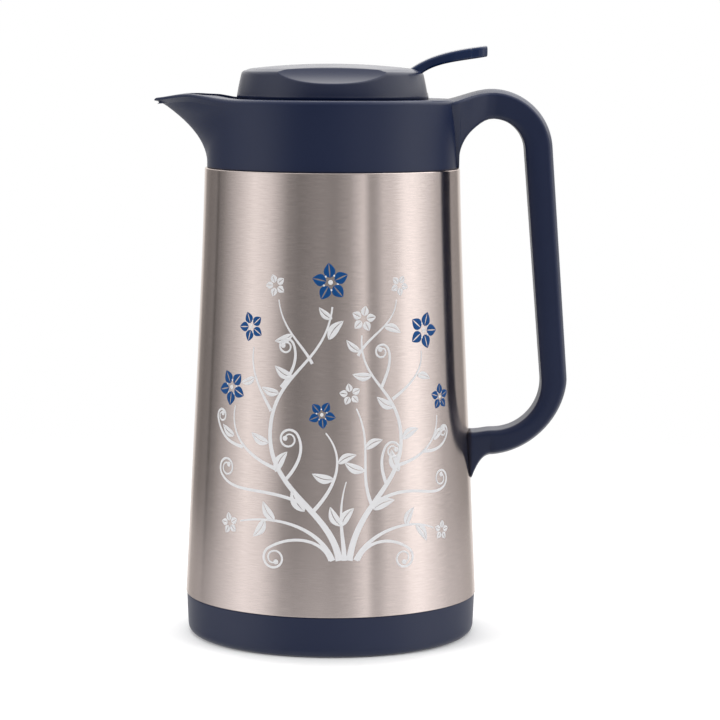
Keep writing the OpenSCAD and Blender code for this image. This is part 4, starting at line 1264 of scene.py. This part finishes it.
def brushed(name, colour, roughness, stretch, lines_per_metre, depth, tone_change):
    """Steel brushed round the axis: fine lines in tone and bump, slow streaks in roughness."""
    material, tree, shader = principled(name, Metallic=1.0, Anisotropic=stretch,
                                        Anisotropic_Rotation=0.25,
                                        Specular_Tint=(0.8, 0.76, 0.73, 1))
    pattern = place_group(tree, brushing, Lines_per_metre=lines_per_metre)
    tint = add_node(tree, "ValToRGB", {"Fac": (pattern, "Lines")})
    dark = [c * (1 - tone_change) for c in colour]
    for stop, position, shade in zip(tint.color_ramp.elements, (0.3, 0.7), (dark, colour)):
        stop.position, stop.color = position, (*shade, 1)
    level = add_node(tree, "MapRange", {
        "Value": (pattern, "Streaks"), "To Min": roughness * STREAKS[0],
        "To Max": roughness * STREAKS[1]})
    feed(tree, shader, {
        "Base Color": (tint, "Color"), "Roughness": level,
        "Tangent": add_node(tree, "Tangent", direction_type="RADIAL", axis="Z"),
        "Normal": bumped(tree, (pattern, "Lines"), 0.5, depth)})
    return material


sleeve_steel = brushed("brushed sleeve steel", (0.65, 0.57, 0.55), 0.2, 0.9, 2700.0, 1e-6, 0.16)
plain_steel = brushed("plain steel", (0.66, 0.65, 0.64), 0.25, 0.3, 3000.0, 6e-6, 0.08)

# %% Glass and ink
flask_glass, tree, shader = principled("flask glass", Base_Color=(0.93, 0.97, 0.97, 1),
                                       Transmission_Weight=1.0, IOR=1.5)
wave = place_group(tree, grain, Grain_per_metre=120.0, Roughness=0.04, Uneven=0.03)
feed(tree, shader, {"Roughness": (wave, "Roughness"),
                    "Normal": bumped(tree, (wave, "Height"), 0.4, 0.0001)})
silvered, tree, shader = principled("silvered glass", Metallic=1.0)
film = place_group(tree, grain, Colour=(0.82, 0.83, 0.84, 1), Grain_per_metre=150.0, Mottle=0.12,
                   Roughness=0.09, Uneven=0.08)
feed(tree, shader, {"Base Color": (film, "Colour"), "Roughness": (film, "Roughness"),
                    "Normal": bumped(tree, (film, "Height"), 0.5, 0.0001)})
white_ink = moulded("white ink", (0.72, 0.715, 0.73), 0.35, 4000.0, 3e-6, (0.7, 0.72, 0.75),
                    worn_lit_amount=0.1, mottle=0.05)
blue_ink = moulded("blue ink", (0.004, 0.06, 0.21), 0.4, 4000.0, 3e-6, (0.01, 0.07, 0.22),
                   worn_lit_amount=0.1, Specular_IOR_Level=0.2)

# %% Dressing the pieces
finishes = {
    "navy_plastic": navy, "lid_plastic": lid_navy, "lever_plastic": lever_blue,
    "silicone": silicone, "black_rubber": rubber, "flask_glass": flask_glass,
    "silvered_glass": silvered, "felt_pad": felt, "plain_steel": plain_steel,
    "sleeve_steel": sleeve_steel}


def dress(piece, material):
    piece.data.materials.clear()
    piece.data.materials.append(material)


for part in frame["record"]["subparts"]:
    dress(nodes[part["node"]], finishes[part["material_slot"]])
for piece in bpy.context.scene.objects:
    if piece.get("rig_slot"):
        dress(piece, finishes[piece["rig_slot"]])
dress(prints[0], white_ink)
dress(prints[1], blue_ink)
print("finishes:", len(finishes) + 2)

# %% [markdown]
# ## The studio
# The jug stands on a pale floor before a white background. Brushed steel only shows what is
# round it, so a studio sets up softboxes and dark cards to draw its form. Here they are three
# rings, one above another, whose level changes from direction to direction, and only
# reflections see them. Bright stretches left and right, with darker ones between them, make
# the bands; the darkest band is the handle's own reflection. The light on everything else
# comes from three soft lamps and the sky.

# %% Studio helpers
scene = bpy.context.scene
scene.view_settings.view_transform = "Standard"


def studio_piece(name, points, faces):
    """A new object of the studio, from points in metres."""
    mesh = bpy.data.meshes.new(name)
    mesh.from_pydata(points, [], faces)
    piece = bpy.data.objects.new(name, mesh)
    scene.collection.objects.link(piece)
    return piece


def seen_directly(tree):
    """The Light Path node, and one that is 1 for camera, glossy and transmission rays."""
    rays = add_node(tree, "LightPath")
    first = maths(tree, "MAXIMUM", (rays, "Is Camera Ray"), (rays, "Is Glossy Ray"))
    return rays, maths(tree, "MAXIMUM", first, (rays, "Is Transmission Ray"))

# %% Floor: it glows away from the foot, leaving a painted shade round the foot; it fades with distance and can't be seen from below
FLOOR_HALF, FLOOR_Z = 1.0, -0.0002
FLOOR_GLOW, GLOW_FROM, GLOW_FULL, SHADOW_NARROW = 0.26, 0.072, 0.108, 1.3
# where the fading starts and ends: seen directly, and in reflections
FADE_FROM, FADE_TO, MIRROR_FADE = (0.25, 0.43), (0.75, 0.48), 0.65
floor = studio_piece("floor", [(x * FLOOR_HALF, y * FLOOR_HALF, FLOOR_Z)
                               for x, y in ((-1, -1), (1, -1), (1, 1), (-1, 1))], [(0, 1, 2, 3)])
paper, tree, shader = principled("white paper", Base_Color=(0.86, 0.86, 0.86, 1), Roughness=0.9,
                                 Specular_IOR_Level=0.1)
rays, seen = seen_directly(tree)
mirrored = (rays, "Is Glossy Ray")
facing = add_node(tree, "NewGeometry")
narrowed = vector_maths(tree, "MULTIPLY", {0: (facing, "Position"), 1: (SHADOW_NARROW, 1, 1)})
# no glow near the foot, in an oval narrowed at the sides: a painted shade round the foot, added to
# the lamps' own shadow
from_foot = add_node(tree, "MapRange", {
    "Value": (vector_maths(tree, "LENGTH", {0: narrowed}), "Value"), "From Min": GLOW_FROM,
    "From Max": GLOW_FULL, "To Max": FLOOR_GLOW}, interpolation_type="SMOOTHSTEP")
glow = add_node(tree, "Emission", {"Strength": maths(tree, "MULTIPLY", seen, from_foot)})
fade_from, fade_to = [add_node(tree, "MapRange", {"Value": mirrored, "To Min": direct,
                                                  "To Max": reflected})
                      for direct, reflected in (FADE_FROM, FADE_TO)]
fade = add_node(tree, "MapRange", {
    "Value": (vector_maths(tree, "LENGTH", {0: (facing, "Position")}), "Value"),
    "From Min": fade_from, "From Max": fade_to}, interpolation_type="SMOOTHSTEP")
hidden = maths(tree, "MAXIMUM", fade, (facing, "Backfacing"))
thinned = maths(tree, "MAXIMUM", hidden, maths(tree, "MULTIPLY", mirrored, MIRROR_FADE))
lit, clear = add_node(tree, "AddShader", {0: shader, 1: glow}), add_node(tree, "BsdfTransparent")
faded = add_node(tree, "MixShader", {0: thinned, 1: lit, 2: clear})
feed(tree, tree.nodes["Material Output"], {"Surface": faded})
dress(floor, paper)

# %% Sky: white where it is seen, dimmer where it only lights
SKY_LIGHT = 0.42
sky = bpy.data.worlds.new("sky")
scene.world = sky
sky.use_nodes = True
sky_level = add_node(sky.node_tree, "MapRange", {"Value": seen_directly(sky.node_tree)[1],
                                                 "To Min": SKY_LIGHT})
feed(sky.node_tree, sky.node_tree.nodes["Background"], {"Color": (1, 1, 1, 1),
                                                        "Strength": sky_level})

# %% Rings that only reflections see
RING_STEP, RING_R, RING_LOW, RING_MIDDLE, RING_HIGH = 2, 2.7, -1.6, 0.6, 1.4
# (degrees round the jug from its front towards the handle, level of the light there)
round_about = [(-180, 0.46), (-172, 1.1), (-158, 1.0), (-152, 0.42), (-138, 0.27), (-124, 0.3),
               (-121, 0.06), (-118, 0.26), (-112, 0.32), (-90, 0.84), (-72, 1.34), (-56, 1.1),
               (-38, 0.36), (-28, 0.27), (-8, 0.4), (3, 0.35), (16, 0.56), (28, 1.2), (34, 0.5),
               (39, 0.54), (46, 0.95), (57, 1.06), (67, 1.58), (76, 1.62), (90, 1.14),
               (106, 0.66), (128, 0.5), (150, 0.44), (158, 1.0), (172, 1.1), (180, 0.46)]
raised = [(-180, 1.7), (-150, 0.9), (-110, 0.5), (-70, 1.0), (-30, 0.15), (40, 0.15), (65, 0.9),
          (100, 1.6), (130, 1.4), (180, 1.7)]
overhead = [(-180, 2.1), (-120, 1.4), (-60, 0.9), (0, 0.6), (50, 1.5), (110, 2.7), (180, 2.1)]
card, tree, shader = principled("surround", Base_Color=(0, 0, 0, 1), Roughness=1.0,
                                Specular_IOR_Level=0.0, Emission_Color=(1.0, 0.985, 0.965, 1))
card.cycles.emission_sampling = "NONE"
level = add_node(tree, "Attribute", attribute_name="level")
feed(tree, shader, {"Emission Strength": (level, "Fac")})


def tone_at(tones, angle):
    """A ring's level in one direction, by straight lines between its tones."""
    k, t = locate([start for start, _ in tones], angle)
    return mix(tones[k][1], tones[k + 1][1], t)


def add_ring(name, tones, *edges):
    """A ring of light round the jug; its edges are its lower and upper (radius, height)."""
    steps = range(-180, 181, RING_STEP)
    ring = studio_piece(name, [(r * sin(radians(a)), -r * cos(radians(a)), z)
                               for a in steps for r, z in edges],
                        [(k, k + 1, k + 3, k + 2) for k in range(0, 2 * len(steps) - 2, 2)])
    level = ring.data.attributes.new("level", "FLOAT", "POINT")
    level.data.foreach_set("value", [tone_at(tones, a) for a in steps for _ in edges])
    ring.visible_camera = ring.visible_diffuse = ring.visible_shadow = False
    ring.visible_transmission = ring.visible_volume_scatter = False
    dress(ring, card)
    print(name, "from", min(t[1] for t in tones), "to", max(t[1] for t in tones))


add_ring("surround", round_about, (RING_R, RING_LOW), (RING_R, RING_MIDDLE))
add_ring("raised", raised, (RING_R, RING_MIDDLE), (RING_R, RING_HIGH))
add_ring("overhead", overhead, (2.6, 1.5), (1.2, 3.0))

# %% Lamps: name, place, size in metres and watts
MIDDLE = Vector((0.0, 0.0, 0.15))
for name, place, size, watts in (("left softbox", (-1.9, -1.3, 1.5), 1.3, 30),
                                 ("right softbox", (1.9, -1.1, 1.3), 1.3, 26),
                                 ("top softbox", (0.0, 0.4, 2.3), 1.8, 34)):
    data = bpy.data.lights.new(name, "AREA")
    data.shape, data.size, data.energy = "SQUARE", size, watts
    light = bpy.data.objects.new(name, data)
    light.location = place
    light.rotation_mode = "QUATERNION"
    light.rotation_quaternion = (MIDDLE - Vector(place)).to_track_quat("-Z", "Y")
    light.visible_glossy = False
    scene.collection.objects.link(light)
    print(name, watts, "W")

# %% Camera
LENS, SENSOR, FAR = 137.8, 36.0, 60
EYE, PITCH, ROLL = (0.0146, -1.4116, 0.3002), 0.1128, 0.0052
data = bpy.data.cameras.new("camera")
data.lens, data.sensor_width, data.clip_end = LENS, SENSOR, FAR
camera = bpy.data.objects.new("camera", data)
camera.location = EYE
camera.rotation_mode = "QUATERNION"
aim = Matrix.Rotation(pi / 2 - PITCH, 3, "X") @ Matrix.Rotation(ROLL, 3, "Z")
camera.rotation_quaternion = aim.to_quaternion()
scene.collection.objects.link(camera)
scene.camera = camera
